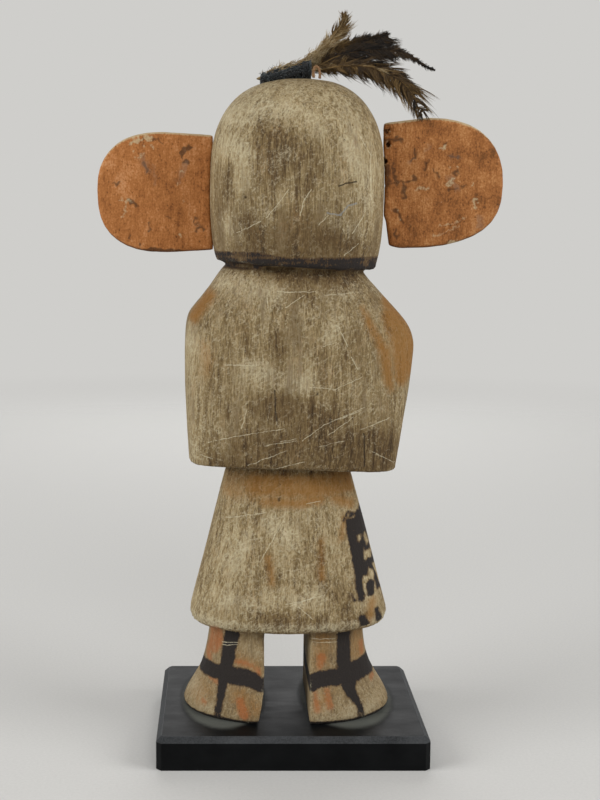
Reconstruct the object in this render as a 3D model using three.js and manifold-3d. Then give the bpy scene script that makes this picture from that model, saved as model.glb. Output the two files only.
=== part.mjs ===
// Kachina doll: a carved and painted wooden figure with two board ears and a tied bunch of feathers on
// its crown, standing on a bevelled plinth. Millimetres, +Z up. The doll faces -Y, and its left is +X.
// The origin is the middle of the plinth's underside.
import * as THREE from "three";
import { mergeVertices } from "three/addons/utils/BufferGeometryUtils.js";
import Module from "manifold-3d";

const wasm = await Module();
wasm.setup();

// ---------- driving dimensions ----------

const GAP = 0.3; // clearance between separate pieces that touch
const RING_SIDES = 48; // sides of the carved figure's rings

const PLINTH = { width: 105.4, depth: 86.4, height: 13.1, bevel: 2 };

// The doll's own heights start 12 below its soles. DOLL_SHIFT then stands it on the plinth.
const BOOTS = { sole: 12, top: 49, gapLeft: 9.9, gapLeftSole: 12.7, gapRight: -8.1, gapRightSole: -7.6 };
const DOLL_SHIFT = [0.8, 0, PLINTH.height - BOOTS.sole];

const KILT = {
  hem: 47.4,
  waist: 110.2,
  centre: 0.4,
  hemLeft: 39.5,
  hemRight: 40.7,
  waistLeft: 25.2,
  waistRight: 26.1,
  back: 0.68, // the kilt's depth as a share of its mean half width
  front: 0.67,
  square: 2.35,
};

const TORSO = { bottom: 112.3, top: 188.6, tilt: 0.035, carving: 5 };

const HEAD = {
  rim: 190.4,
  spring: 222, // where the straight wall turns into the dome
  crown: 262,
  halfWidth: 34.1,
  back: 29.5,
  front: 28.5,
  centre: -2.35,
  lean: -0.01, // sideways shift for each millimetre above the rim
  tilt: 0.06, // the rim is lower on the doll's right
  domeSquare: 2.62,
  wallTaper: 0.073,
};

const EAR = { thickness: 4.6, edge: 0.9, centreY: 1 };

// ---------- solids ----------

// A geometry whose vertices are merged, as a solid that can be joined and cut.
function solidOf(geometry) {
  const plain = geometry.clone();
  plain.deleteAttribute("normal");
  plain.deleteAttribute("uv");
  const merged = mergeVertices(plain, 1e-4);
  return new wasm.Manifold(
    new wasm.Mesh({
      numProp: 3,
      vertProperties: new Float32Array(merged.attributes.position.array),
      triVerts: new Uint32Array(merged.index.array),
    }),
  );
}

function geometryOf(solid) {
  const mesh = solid.getMesh();
  const geometry = new THREE.BufferGeometry();
  geometry.setAttribute("position", new THREE.BufferAttribute(new Float32Array(mesh.vertProperties), 3));
  geometry.setIndex(new THREE.BufferAttribute(new Uint32Array(mesh.triVerts), 1));
  geometry.computeVertexNormals();
  return geometry;
}

// A closed skin over rings that all have the same number of points and run anticlockwise about the path.
function loft(rings) {
  const sides = rings[0].length;
  const positions = rings.flat().flatMap((point) => [point.x, point.y, point.z]);
  const faces = [];
  for (let row = 0; row + 1 < rings.length; row++) {
    for (let side = 0; side < sides; side++) {
      const next = (side + 1) % sides;
      const [a, b] = [row * sides + side, row * sides + next];
      faces.push(a, b, b + sides, a, b + sides, a + sides);
    }
  }
  const cap = (ring, first, flip) => {
    const middle = new THREE.Vector3();
    ring.forEach((point) => middle.add(point));
    middle.divideScalar(sides);
    positions.push(middle.x, middle.y, middle.z);
    const hub = positions.length / 3 - 1;
    for (let side = 0; side < sides; side++) {
      const [a, b] = [first + side, first + ((side + 1) % sides)];
      faces.push(hub, flip ? b : a, flip ? a : b);
    }
  };
  cap(rings[0], 0, true);
  cap(rings.at(-1), (rings.length - 1) * sides, false);
  const geometry = new THREE.BufferGeometry();
  geometry.setAttribute("position", new THREE.Float32BufferAttribute(positions, 3));
  geometry.setIndex(faces);
  return geometry;
}

// cos or sin raised to a power that squares a circle off, keeping its sign.
const squared = (value, square) => Math.sign(value) * Math.abs(value) ** (2 / square);

// One level of the carved figure: a squared oval with its own reach to each side. More than 2 is squarer.
function ring(level, grow = 0) {
  const { z, centre = 0, left, right, back, front, square = 2, tilt = 0 } = level;
  return Array.from({ length: RING_SIDES }, (_, side) => {
    const angle = (2 * Math.PI * side) / RING_SIDES;
    const [across, deep] = [squared(Math.cos(angle), square), squared(Math.sin(angle), square)];
    const x = centre + across * ((across > 0 ? left : right) + grow);
    const y = deep * ((deep > 0 ? back : front) + grow);
    return new THREE.Vector3(x, y, z + tilt * (x - centre));
  });
}

const loftLevels = (levels, grow = 0) => solidOf(loft(levels.map((level) => ring(level, grow))));

// ---------- the carved figure ----------

// The cylinder-and-dome mask. It leans and its rim dips a little to the doll's right.
function headLevels(grow) {
  const { rim, spring, halfWidth, back, front, tilt, domeSquare, wallTaper } = HEAD;
  const crown = HEAD.crown + grow;
  const level = (z, share, levelTilt) => ({
    z,
    centre: HEAD.centre + HEAD.lean * (z - rim),
    left: halfWidth * share,
    right: halfWidth * share,
    back: back * share,
    front: front * share,
    square: 2.25,
    tilt: levelTilt,
  });
  const levels = [level(rim, 0.9, tilt)]; // the rim's lower edge is rounded off
  const wallSteps = 6;
  for (let step = 0; step < wallSteps; step++) {
    const down = 1 - step / wallSteps;
    const z = spring - (spring - rim - 1.2) * down;
    levels.push(level(z, 1 - wallTaper * down ** 3, tilt * (0.4 + 0.6 * down)));
  }
  const domeSteps = 10;
  for (let step = 0; step < domeSteps; step++) {
    const angle = (Math.PI / 2) * (step / domeSteps);
    const rise = squared(Math.sin(angle), domeSquare);
    const share = squared(Math.cos(angle), domeSquare);
    levels.push(level(spring + (crown - spring) * rise, share, tilt * 0.4 * (1 - rise)));
  }
  levels.push(level(crown - 0.02, 0.12, 0));
  return levels;
}

// The trunk with the arms held against it: sloping shoulders, then sides that close in to the elbows.
// Its section grows squarer towards the bottom.
// Its right shoulder is the broader and lower one.
function torsoLevels(frontCut = 0) {
  const { bottom, top, tilt } = TORSO;
  const outline = [
    { z: bottom, left: 39.2, right: 41.3, back: 23.6, front: 22.6, square: 5.5 },
    { z: bottom + 0.8, left: 39.7, right: 41.7, back: 24.2, front: 23.2, square: 5.5 },
    { z: 126, left: 40.5, right: 44.1, back: 25.8, front: 24.8, square: 4.4 },
    { z: 142, left: 41.3, right: 46.9, back: 26.8, front: 25.8, square: 3.5 },
    { z: 155, left: 41.4, right: 48.8, back: 27, front: 26, square: 2.9 },
    { z: 161.5, left: 41.3, right: 49.4, back: 26.6, front: 25.6, square: 2.8 },
    { z: 166.5, left: 41, right: 48.1, back: 26.2, front: 25.2, square: 2.75 },
    { z: 170.5, left: 39.9, right: 45.6, back: 25.8, front: 24.8, square: 2.7 },
    { z: 175, left: 36.2, right: 41.6, back: 25.2, front: 24.2, square: 2.6 },
    { z: 181, left: 31.5, right: 36, back: 24.3, front: 23, square: 2.5 },
    { z: top - 1.6, left: 27.6, right: 30.4, back: 23, front: 21.5, square: 2.4 },
    { z: top, left: 26.4, right: 29, back: 21.6, front: 20, square: 2.4 },
  ];
  return outline.map((level) => ({ ...level, front: level.front - frontCut, tilt }));
}

// The short neck in the groove between mask and shoulders.
function neckLevels() {
  const neck = { centre: -1, left: 26, right: 26, back: 20, front: 18, square: 2.2, tilt: 0.045 };
  return [TORSO.top - 3, HEAD.rim + 3].map((z) => ({ ...neck, z }));
}

// The kilt flares in a straight line from a rounded waist edge to a rounded hem.
function kiltLevels() {
  const { hem, waist, centre, hemLeft, hemRight, waistLeft, waistRight, square } = KILT;
  const level = (z, inset = 0, tilt = 0) => {
    const rise = Math.min(1, Math.max(0, (z - hem - 4) / (waist - 3 - hem - 4)));
    const left = hemLeft + (waistLeft - hemLeft) * rise - inset;
    const right = hemRight + (waistRight - hemRight) * rise - inset;
    const mean = (left + right) / 2;
    return { z, centre, left, right, back: mean * KILT.back, front: mean * KILT.front, square, tilt };
  };
  return [
    level(hem, 2.4),
    level(hem + 1.2, 0.9),
    level(hem + 4),
    level(68),
    level(90, 0, 0.015),
    level(waist - 3, 0, 0.03),
    level(waist - 0.6, 0.7, TORSO.tilt),
    level(waist + 0.2, 1.8, TORSO.tilt),
    level(waist + 4, 1.8, TORSO.tilt),
  ];
}

// Both boots as one flared block, before the gap between them is cut.
function bootLevels() {
  const { sole, top } = BOOTS;
  return [
    { z: sole, left: 41.8, right: 40.8, back: 30.2, front: 36.6 },
    { z: sole + 1.6, left: 42.4, right: 41.7, back: 30.9, front: 37.4 },
    { z: sole + 4, left: 41.6, right: 41.2, back: 30.3, front: 36.8 },
    { z: 20, left: 39.2, right: 39, back: 28.8, front: 34.4 },
    { z: 24, left: 36.7, right: 36.4, back: 27.3, front: 31 },
    { z: 29, left: 34.6, right: 33.7, back: 25.4, front: 27.6 },
    { z: 35, left: 33.1, right: 31.9, back: 23.6, front: 25 },
    { z: 42, left: 32, right: 31, back: 22.3, front: 23.2 },
    { z: top, left: 31.5, right: 30.5, back: 21.7, front: 22.5 },
  ].map((level) => ({ ...level, square: 2.15 }));
}

// A shape drawn in the front view (X across, Z up), cut or kept from yFrom to yTo.
function frontSlab(shape, yFrom, yTo) {
  const geometry = new THREE.ExtrudeGeometry(shape, { depth: yTo - yFrom, bevelEnabled: false, curveSegments: 6 });
  geometry.rotateX(Math.PI / 2); // the shape's height becomes Z, and the depth runs towards -Y
  geometry.translate(0, yTo, 0);
  return solidOf(geometry);
}

// The slot between the boots, wider at the soles. It leaves each toe round, and each heel square.
function bootGap() {
  const { sole, gapLeft, gapLeftSole, gapRight, gapRightSole } = BOOTS;
  const slot = new THREE.Shape();
  slot.moveTo(gapLeftSole, sole - 1);
  slot.quadraticCurveTo(gapLeft, sole + 10, gapLeft, sole + 20);
  slot.lineTo(gapLeft, KILT.hem + 4);
  slot.lineTo(gapRight, KILT.hem + 4);
  slot.lineTo(gapRightSole, sole - 1);
  slot.closePath();
  let gap = frontSlab(slot, -60, 60);
  for (const [edge, side] of [[gapLeft, 1], [gapRight, -1]]) {
    gap = gap.add(insideToe(edge, side, -37, 15));
  }
  return gap.subtract(kiltBlank());
}

// What rounds off the toe's upright edge that starts at (edge, end) and faces the gap.
function insideToe(edge, side, end, radius) {
  const height = 2 * KILT.hem;
  const middle = end - Math.sign(end) * radius;
  const square = new THREE.BoxGeometry(radius + 4, 24, height);
  square.translate(edge + side * (radius - 4) / 2, middle + Math.sign(end) * 12, 0);
  const round = new THREE.CylinderGeometry(radius, radius, height, 24).rotateX(Math.PI / 2);
  round.translate(edge + side * radius, middle, 0);
  return solidOf(square).subtract(solidOf(round));
}

const kiltBlank = () => loftLevels(kiltLevels());

// The chest between the upper arms, and the belly under the forearms, as seen from the front.
function armHollows() {
  const chest = new THREE.Shape();
  chest.moveTo(-27, 136);
  chest.lineTo(-29, 160);
  chest.quadraticCurveTo(-28, 172, -19, 176);
  chest.quadraticCurveTo(-1, 181, 17, 176);
  chest.quadraticCurveTo(25, 172, 26, 160);
  chest.lineTo(24, 136);
  chest.quadraticCurveTo(10, 138, -1.5, 140);
  chest.quadraticCurveTo(-14, 138, -27, 136);
  const belly = new THREE.Shape();
  belly.moveTo(-24, 108);
  belly.lineTo(21, 108);
  belly.lineTo(21, 114);
  belly.quadraticCurveTo(8, 122, -1.5, 124);
  belly.quadraticCurveTo(-12, 122, -24, 114);
  belly.closePath();
  return [chest, belly].map((shape) => frontSlab(shape, -60, -4));
}

// Three cuts part the fingers of each hand. The hands meet over the belly.
function fingerCuts() {
  const cuts = [];
  for (const side of [-1, 1]) {
    for (const finger of [-1, 0, 1]) {
      const cut = new THREE.BoxGeometry(8.5, 3.4, 0.8);
      cut.rotateY(side * 0.1);
      cut.translate(-1.5 + side * 6.5, -24.6, 131.6 + finger * 3.2);
      cuts.push(solidOf(cut));
    }
  }
  const between = new THREE.BoxGeometry(1, 3.4, 17).translate(-1.5, -24.8, 132);
  return [...cuts, solidOf(between)];
}

function torsoSolid() {
  const core = loftLevels(torsoLevels(TORSO.carving));
  let torso = loftLevels(torsoLevels());
  for (const hollow of armHollows()) torso = torso.subtract(hollow.subtract(core));
  for (const cut of fingerCuts()) torso = torso.subtract(cut);
  return torso;
}

const headSolid = (grow = 0) => loftLevels(headLevels(grow), grow);

function carvedFigure() {
  const boots = loftLevels(bootLevels()).subtract(bootGap());
  return headSolid()
    .add(loftLevels(neckLevels()))
    .add(torsoSolid())
    .add(kiltBlank())
    .add(boots);
}

// ---------- the ears ----------

// An ear board's outline: a straight inner edge, and an outer end of two squared quarter rounds.
function earShape(side, ear) {
  const shape = new THREE.Shape();
  const steps = 9;
  const { inner, outer, middle, step = 0 } = ear;
  const round = (bend, level, square, share) => {
    const angle = (Math.PI / 2) * share;
    const x = bend + (outer - bend) * squared(Math.cos(angle), square);
    return [side * x, middle + (level - middle) * squared(Math.sin(angle), square)];
  };
  shape.moveTo(side * (inner + step), ear.bottom + 1);
  for (let i = steps; i >= 0; i--) shape.lineTo(...round(ear.bottomBend, ear.bottom, ear.bottomSquare, i / steps));
  for (let i = 1; i <= steps; i++) shape.lineTo(...round(ear.topBend, ear.top, ear.topSquare, i / steps));
  shape.lineTo(side * inner, ear.top - ear.drop);
  if (step > 0) {
    shape.lineTo(side * inner, middle - 11);
    shape.lineTo(side * (inner + step / 2), middle - 13.5);
  }
  shape.closePath();
  return shape;
}

// The board is set against the mask, so its inner edge is hollowed to the mask's wall.
function earBoard(side, outline) {
  const { thickness, edge, centreY } = EAR;
  const geometry = new THREE.ExtrudeGeometry(earShape(side, outline), {
    depth: thickness - 2 * edge,
    bevelThickness: edge,
    bevelSize: edge,
    bevelOffset: -edge,
    bevelSegments: 2,
  });
  geometry.rotateX(Math.PI / 2);
  geometry.translate(0, centreY + thickness / 2 - edge, 0);
  return solidOf(geometry).subtract(headSolid(GAP));
}

const leftEar = () =>
  earBoard(1, {
    inner: 30.6,
    outer: 75.4,
    topBend: 50,
    bottomBend: 48,
    top: 241.8,
    bottom: 195.2,
    middle: 219.4,
    drop: 1.2,
    topSquare: 2.35,
    bottomSquare: 2.55,
  });

// The right ear is larger and higher. Its inner edge steps back below, and has old lacing holes above.
function rightEar() {
  let board = earBoard(-1, {
    inner: 36.2,
    outer: 83.1,
    topBend: 53,
    bottomBend: 43,
    top: 247.2,
    bottom: 196.8,
    middle: 221.3,
    drop: 2.1,
    topSquare: 2.4,
    bottomSquare: 2.6,
    step: 2.8,
  });
  const lacing = { radius: 0.65, x: -38.2, heights: [242.4, 237.6] };
  for (const z of lacing.heights) {
    const hole = new THREE.CylinderGeometry(lacing.radius, lacing.radius, 20, 8).translate(lacing.x, 0, z);
    board = board.subtract(solidOf(hole));
  }
  return board;
}

// ---------- the bunch on the crown ----------

const WRAP = { leftX: 11.8, rightX: -7.8, leftZ: 261.7, rightZ: 266, leftHalf: 1.7, rightHalf: 3.9, halfDepth: 4.6 };
const YARN = { turns: 6, ridge: 0.24 };
const QUILL = { radius: 0.5, spacing: 1.35 };

// How far along the wrap a place is: 0 at its left end and 1 where the plumes leave it.
const wrapShare = (x) => (WRAP.leftX - x) / (WRAP.leftX - WRAP.rightX);
const wrapCentre = (x) => WRAP.leftZ + (WRAP.rightZ - WRAP.leftZ) * wrapShare(x);

// An upright oval ring across the wrap, anticlockwise about -X.
function crossRing(x, middle, halfDepth, halfHeight, sides = 14) {
  return Array.from({ length: sides }, (_, side) => {
    const angle = (2 * Math.PI * side) / sides;
    return new THREE.Vector3(x, -Math.cos(angle) * halfDepth, middle + Math.sin(angle) * halfHeight);
  });
}

// One length of yarn wound side by side round the quills and pressed on to the crown.
function yarnWrap() {
  const stepsPerTurn = 4;
  const steps = YARN.turns * stepsPerTurn;
  const rings = Array.from({ length: steps + 1 }, (_, step) => {
    const x = WRAP.leftX + ((WRAP.rightX - WRAP.leftX) * step) / steps;
    const share = step / steps;
    const ridge = YARN.ridge * (1 - 2 * Math.abs(Math.cos((Math.PI * step) / stepsPerTurn)));
    const halfHeight = WRAP.leftHalf + (WRAP.rightHalf - WRAP.leftHalf) * share + ridge;
    return crossRing(x, wrapCentre(x), WRAP.halfDepth + ridge, halfHeight);
  });
  let wrap = solidOf(loft(rings)).subtract(headSolid(GAP));
  for (const plume of FEATHERS) wrap = wrap.subtract(feather(plume, GAP));
  return wrap;
}

// A feather: a bare quill through the wrap, then a plume along its own bend. The rings are flat ovals.
function feather({ lane, tail, bend, width, thickness }, grow = 0) {
  const laneY = lane * QUILL.spacing;
  const inWrap = [tail + grow, (tail + WRAP.rightX) / 2, WRAP.rightX].map(
    (x) => new THREE.Vector3(x, laneY, wrapCentre(x)),
  );
  const free = bend.map(([x, y, z]) => new THREE.Vector3(x, y, z));
  const spine = new THREE.CatmullRomCurve3([...inWrap, ...free], false, "centripetal");
  const [steps, sides] = [22, 8];
  const plumeStart = inWrap[0].distanceTo(inWrap[2]) / spine.getLength() + 0.04;
  const across = new THREE.Vector3(0, 1, 0);
  const rings = Array.from({ length: steps + 1 }, (_, step) => {
    const share = step / steps;
    const along = Math.max(0, (share - plumeStart) / (1 - plumeStart));
    const full = Math.sin(Math.PI * Math.min(1, along ** 0.62)) ** 0.7;
    const quill = QUILL.radius * (1 - 0.4 * along);
    const halfWidth = Math.max(quill, (width / 2) * full) + grow;
    const halfDepth = Math.max(quill, (thickness / 2) * Math.min(1, full * 1.2)) + grow;
    const point = spine.getPointAt(share);
    const forward = spine.getTangentAt(share);
    const up = new THREE.Vector3().crossVectors(forward, across).normalize();
    const sideways = new THREE.Vector3().crossVectors(forward, up);
    return Array.from({ length: sides }, (_, side) => {
      const angle = (2 * Math.PI * side) / sides;
      return point
        .clone()
        .addScaledVector(up, Math.cos(angle) * halfWidth)
        .addScaledVector(sideways, Math.sin(angle) * halfDepth);
    });
  });
  return solidOf(loft(rings));
}

// Each feather's bend after it leaves the wrap, from the one nearest the doll's back to the front one.
const FEATHERS = [
  {
    name: "feather_drooping",
    lane: 2,
    tail: 4,
    bend: [[-16, 5.6, 268], [-27, 6.8, 268.8], [-37, 7, 266], [-45, 6.6, 259.2], [-49.8, 5.8, 248.2]],
    width: 12,
    thickness: 2.3,
  },
  {
    name: "feather_low",
    lane: 1,
    tail: 13.4,
    bend: [[-16, 2.8, 269.4], [-28, 3.5, 271.4], [-40, 3.5, 269.4], [-49, 3.4, 263.4], [-55.8, 3.3, 254]],
    width: 10.5,
    thickness: 2.2,
  },
  {
    name: "feather_long",
    lane: 0,
    tail: 12.6,
    bend: [[-16, 0, 270.6], [-27, 0, 274.4], [-38, 0, 275], [-47.6, 0, 271.6], [-55.8, 0, 266.4]],
    width: 9.5,
    thickness: 2.2,
  },
  {
    name: "feather_high",
    lane: -1,
    tail: 13.2,
    bend: [[-14.5, -2.6, 271.6], [-21, -3.4, 276.4], [-29, -3.5, 278.8], [-37.6, -3.4, 278.6]],
    width: 10,
    thickness: 2.2,
  },
  {
    name: "feather_upright",
    lane: -2,
    tail: 4.6,
    bend: [[-10.8, -4.4, 269], [-14.2, -6.4, 275.2], [-18, -6.9, 281.4], [-20.8, -6.9, 286.7]],
    width: 9,
    thickness: 2.3,
  },
];

// A short loop of hide thong that stands on the crown beside the wrap's right end.
function hideTie() {
  const [x, y, radius] = [-9.6, 6.4, 0.6];
  const path = new THREE.CatmullRomCurve3(
    [[0.9, 0, 261], [1.2, 0, 264], [0.3, 0.3, 266.2], [-0.8, 0.2, 265.4], [-1.3, 0, 263.2], [-1.1, 0, 260.8]].map(
      ([across, deep, z]) => new THREE.Vector3(x + across, y + deep, z),
    ),
  );
  const section = new THREE.Shape().absarc(0, 0, radius, 0, 2 * Math.PI);
  const geometry = new THREE.ExtrudeGeometry(section, { extrudePath: path, steps: 20, curveSegments: 4 });
  return solidOf(geometry).subtract(headSolid(GAP));
}

// ---------- the plinth ----------

// A slab with its upright corners cut off and a bevel round its top.
function plinthSlab() {
  const { width, depth, height, bevel } = PLINTH;
  const outline = (inset, z) => {
    const [x, y, cut] = [width / 2 - inset, depth / 2 - inset, bevel - inset * 0.4];
    return [[x, cut - y], [x, y - cut], [x - cut, y], [cut - x, y], [-x, y - cut], [-x, cut - y], [cut - x, -y],
      [x - cut, -y]].map(([px, py]) => new THREE.Vector3(px, py, z));
  };
  return solidOf(loft([outline(0, 0), outline(0, height - bevel), outline(bevel, height)]));
}

// ---------- finishes ----------

const finish = (color, roughness, metalness = 0) => new THREE.MeshStandardMaterial({ color, roughness, metalness });

const paintedFigure = finish(0x97886a, 0.85);
const ochreBoard = finish(0x9b6537, 0.8);
const darkYarn = finish(0x22211c, 0.95);
const brownPlume = finish(0x5a4a33, 0.9);
const paleHide = finish(0xa88c6c, 0.9);
const blackPlinth = finish(0x1b1c1c, 0.5);

function named(name, solid, material) {
  const mesh = new THREE.Mesh(geometryOf(solid), material);
  mesh.name = name;
  return mesh;
}

// ---------- assembly ----------

const doll = new THREE.Group();
doll.add(named("plinth", plinthSlab(), blackPlinth));
const pieces = [
  ["carved_figure", carvedFigure(), paintedFigure],
  ["left_ear", leftEar(), ochreBoard],
  ["right_ear", rightEar(), ochreBoard],
  ["yarn_wrap", yarnWrap(), darkYarn],
  ["hide_tie", hideTie(), paleHide],
  ...FEATHERS.map((plume) => [plume.name, feather(plume), brownPlume]),
];
for (const [name, solid, material] of pieces) doll.add(named(name, solid.translate(DOLL_SHIFT), material));

export default doll;
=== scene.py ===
"""The looks of a carved and painted kachina doll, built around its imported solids.

Every size is in millimetres. The doll faces -Y, its left is +X, and +Z is up. What is painted or tied on the doll
is placed in the doll's own frame, which lies SEAT away from the frame of the whole object.
"""

import logging
import math
import random
from collections.abc import Iterable, Sequence
from dataclasses import dataclass
from enum import Enum

import bmesh
import bpy
import numpy as np
from mathutils import Matrix, Vector, noise

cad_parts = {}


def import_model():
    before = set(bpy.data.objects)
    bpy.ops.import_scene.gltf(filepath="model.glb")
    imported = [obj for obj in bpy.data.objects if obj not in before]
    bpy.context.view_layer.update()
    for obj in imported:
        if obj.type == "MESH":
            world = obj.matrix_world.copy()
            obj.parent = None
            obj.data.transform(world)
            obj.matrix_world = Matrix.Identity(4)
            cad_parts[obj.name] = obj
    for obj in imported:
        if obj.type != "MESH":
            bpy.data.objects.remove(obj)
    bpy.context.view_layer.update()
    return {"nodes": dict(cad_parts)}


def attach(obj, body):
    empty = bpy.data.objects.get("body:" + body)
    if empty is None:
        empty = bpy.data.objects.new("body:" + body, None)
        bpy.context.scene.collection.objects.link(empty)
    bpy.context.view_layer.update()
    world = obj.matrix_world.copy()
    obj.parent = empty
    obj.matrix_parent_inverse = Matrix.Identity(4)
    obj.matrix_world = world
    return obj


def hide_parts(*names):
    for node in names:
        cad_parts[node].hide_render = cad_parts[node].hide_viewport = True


MM = 0.001
SEAT = np.array((0.8, 0.0, 1.1))
WELD = 0.002  # corners closer than this are one corner
OUTSIDE = -99.0  # the depth of a point that lies nowhere near a mark
LOG = logging.getLogger("kachina")

Socket = bpy.types.NodeSocket
Tree = bpy.types.NodeTree
Pair = tuple[float, float]
Triple = tuple[float, float, float]
Route = tuple[Pair, ...]


# ---------- colours, nodes and the patterns made of them ----------


def linear(code: str) -> tuple[float, float, float, float]:
    """Turn an sRGB hex colour into linear light.

    Args:
        code: six hex digits after a hash.

    Returns:
        Red, green, blue and an alpha of 1.
    """
    shares = (int(code[i : i + 2], 16) / 255 for i in (1, 3, 5))
    red, green, blue = (s / 12.92 if s <= 0.04045 else ((s + 0.055) / 1.055) ** 2.4 for s in shares)
    return red, green, blue, 1.0


def add_node(
    tree: Tree,
    kind: str,
    inputs: dict | None = None,
    output: int | str = 0,
    stops: Sequence[tuple[float, str]] = (),
    **settings: object,
) -> Socket:
    """Add one shader node.

    Args:
        tree: the material's nodes.
        kind: the node's type, without its ShaderNode prefix.
        inputs: socket name or number to a value, or to the output that feeds it.
        output: which output is wanted.
        stops: a colour ramp's stops, each with its place and its hex colour.
        settings: the node's own properties.

    Returns:
        The wanted output, or the node's first input where it has no output.
    """
    node = tree.nodes.new("ShaderNode" + kind)
    for name, value in settings.items():
        setattr(node, name, value)
    for socket, value in (inputs or {}).items():
        if isinstance(value, bpy.types.NodeSocket):
            tree.links.new(value, node.inputs[socket])
        else:
            node.inputs[socket].default_value = value
    if stops:
        ramp = node.color_ramp.elements
        while len(ramp) < len(stops):
            ramp.new(1.0)
        for element, (place, code) in zip(ramp, stops):
            element.position, element.color = place, linear(code)
    return node.outputs[output] if len(node.outputs) else node.inputs[0]


def grain(
    tree: Tree, size: Triple, detail: float = 3.0, turn: float = 0.0, rough: float = 0.55, shift: float = 0.0
) -> Socket:
    """Lay cloudy grain over a piece, with a real size in each direction.

    Args:
        tree: the material's nodes.
        size: the grain's length along X, Y and Z.
        detail: octaves of finer grain.
        turn: how far the grain leans over about Y, in degrees.
        rough: how strong the finer octaves are.
        shift: picks another stretch of the same grain.

    Returns:
        The pattern, mostly between 0.3 and 0.7.
    """
    place = add_node(tree, "TexCoord", output="Object")
    leaning = add_node(tree, "VectorRotate", {"Vector": place, "Angle": math.radians(turn)}, rotation_type="Y_AXIS")
    inputs = {"Vector": leaning, "Scale": [1 / (MM * length) for length in size], "Location": (shift, shift, shift)}
    sized = add_node(tree, "Mapping", inputs)
    return add_node(tree, "TexNoise", {"Vector": sized, "Scale": 1.0, "Detail": detail, "Roughness": rough})


def blended(tree: Tree, *shares: tuple[Socket | float, float]) -> Socket:
    """Add patterns up.

    Args:
        tree: the material's nodes.
        shares: each pattern and what it is multiplied by.

    Returns:
        The sum.
    """
    total: Socket | float = 0.0
    for pattern, weight in shares:
        total = add_node(tree, "Math", {0: pattern, 1: weight, 2: total}, operation="MULTIPLY_ADD")
    return total


def coat(
    tree: Tree, under: Socket, colour: str, pattern: Socket, low: float, high: float, most: float = 1.0
) -> Socket:
    """Brush one colour over what is there, where a pattern rises.

    Args:
        tree: the material's nodes.
        under: the colour that is there.
        colour: the hex code of the coat.
        pattern: what decides where the coat lies.
        low: where in the pattern the coat starts.
        high: where it is full. It may be below low.
        most: how much a full coat covers.

    Returns:
        The colour with its coat.
    """
    span = {"Value": pattern, "From Min": low, "From Max": high, "To Max": most}
    mask = add_node(tree, "MapRange", span, interpolation_type="SMOOTHSTEP")
    return add_node(tree, "Mix", {0: mask, 6: under, 7: linear(colour)}, output=2, data_type="RGBA")


def hairlines(tree: Tree, along: float, across: float, turn: float, level: float, width: float) -> Socket:
    """Scratch a piece with fine wandering lines, which are the height lines of a stretched grain.

    Args:
        tree: the material's nodes.
        along: the length over which a line wanders.
        across: the distance over which lines differ.
        turn: how far the lines lean from upright, in degrees.
        level: the height in the grain that is drawn.
        width: the lines' width in the grain's own measure.

    Returns:
        The mask of the lines.
    """
    height = grain(tree, (across, across, along), 1.0, turn, shift=level * 37)
    above = add_node(tree, "Math", {0: height, 1: level}, operation="SUBTRACT")
    away = add_node(tree, "Math", {0: above}, operation="ABSOLUTE")
    return add_node(tree, "MapRange", {"Value": away, "From Min": width, "From Max": 0.0})


def close_material(
    tree: Tree, colour: Socket, roughness: Socket | float, height: Socket, relief: float, **constants: object
) -> None:
    """Finish a material with its shader, bump and output.

    Args:
        tree: the material's nodes.
        colour: the base colour.
        roughness: the roughness.
        height: the bump's height from 0 to 1.
        relief: the millimetres that a height of 1 stands for.
        constants: other sockets of the shader, with underscores for spaces.
    """
    normal = add_node(tree, "Bump", {"Height": height, "Distance": relief * MM, "Strength": 1.0})
    inputs = {"Base Color": colour, "Roughness": roughness, "Normal": normal}
    inputs |= {name.replace("_", " "): value for name, value in constants.items()}
    add_node(tree, "OutputMaterial", {"Surface": add_node(tree, "BsdfPrincipled", inputs)})


def new_material(name: str) -> tuple[bpy.types.Material, Tree]:
    """Make an empty material.

    Args:
        name: the finish it is.

    Returns:
        The material and its nodes.
    """
    material = bpy.data.materials.new(name)
    material.use_nodes = True
    material.node_tree.nodes.clear()
    return material, material.node_tree


# ---------- mesh work ----------


def placed(name: str, data: bpy.types.ID) -> bpy.types.Object:
    """Put something into the scene, at the origin.

    Args:
        name: the new object's name.
        data: its mesh, curve, light or camera.

    Returns:
        The new object.
    """
    thing = bpy.data.objects.new(name, data)
    bpy.context.scene.collection.objects.link(thing)
    return thing


def new_piece(shape: bmesh.types.BMesh, name: str) -> bpy.types.Object:
    """Turn a bmesh into a piece of the scene.

    Args:
        shape: the bmesh, which is used up.
        name: the piece's name.

    Returns:
        The new piece.
    """
    mesh = bpy.data.meshes.new(name)
    shape.to_mesh(mesh)
    shape.free()
    return placed(name, mesh)


def merged(node: bpy.types.Object) -> bmesh.types.BMesh:
    """Copy a CAD node's mesh, with its loose corners joined.

    Args:
        node: the CAD node.

    Returns:
        The copy. new_piece uses it up.
    """
    shape = bmesh.new()
    shape.from_mesh(node.data)
    bmesh.ops.remove_doubles(shape, verts=shape.verts, dist=WELD * MM)
    return shape


def evaluated(thing: bpy.types.Object) -> bpy.types.Mesh:
    """Make the mesh that an object's modifiers or its curve give."""
    graph = bpy.context.evaluated_depsgraph_get()
    return bpy.data.meshes.new_from_object(thing.evaluated_get(graph))


def remesh(piece: bpy.types.Object, voxel: float) -> None:
    """Give a closed piece an even skin of quads.

    Args:
        piece: the piece.
        voxel: the quads' width.
    """
    modifier = piece.modifiers.new("even skin", "REMESH")
    modifier.mode, modifier.voxel_size, modifier.use_smooth_shade = "VOXEL", voxel * MM, True
    mesh = evaluated(piece)
    piece.modifiers.clear()
    piece.data = mesh


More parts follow.
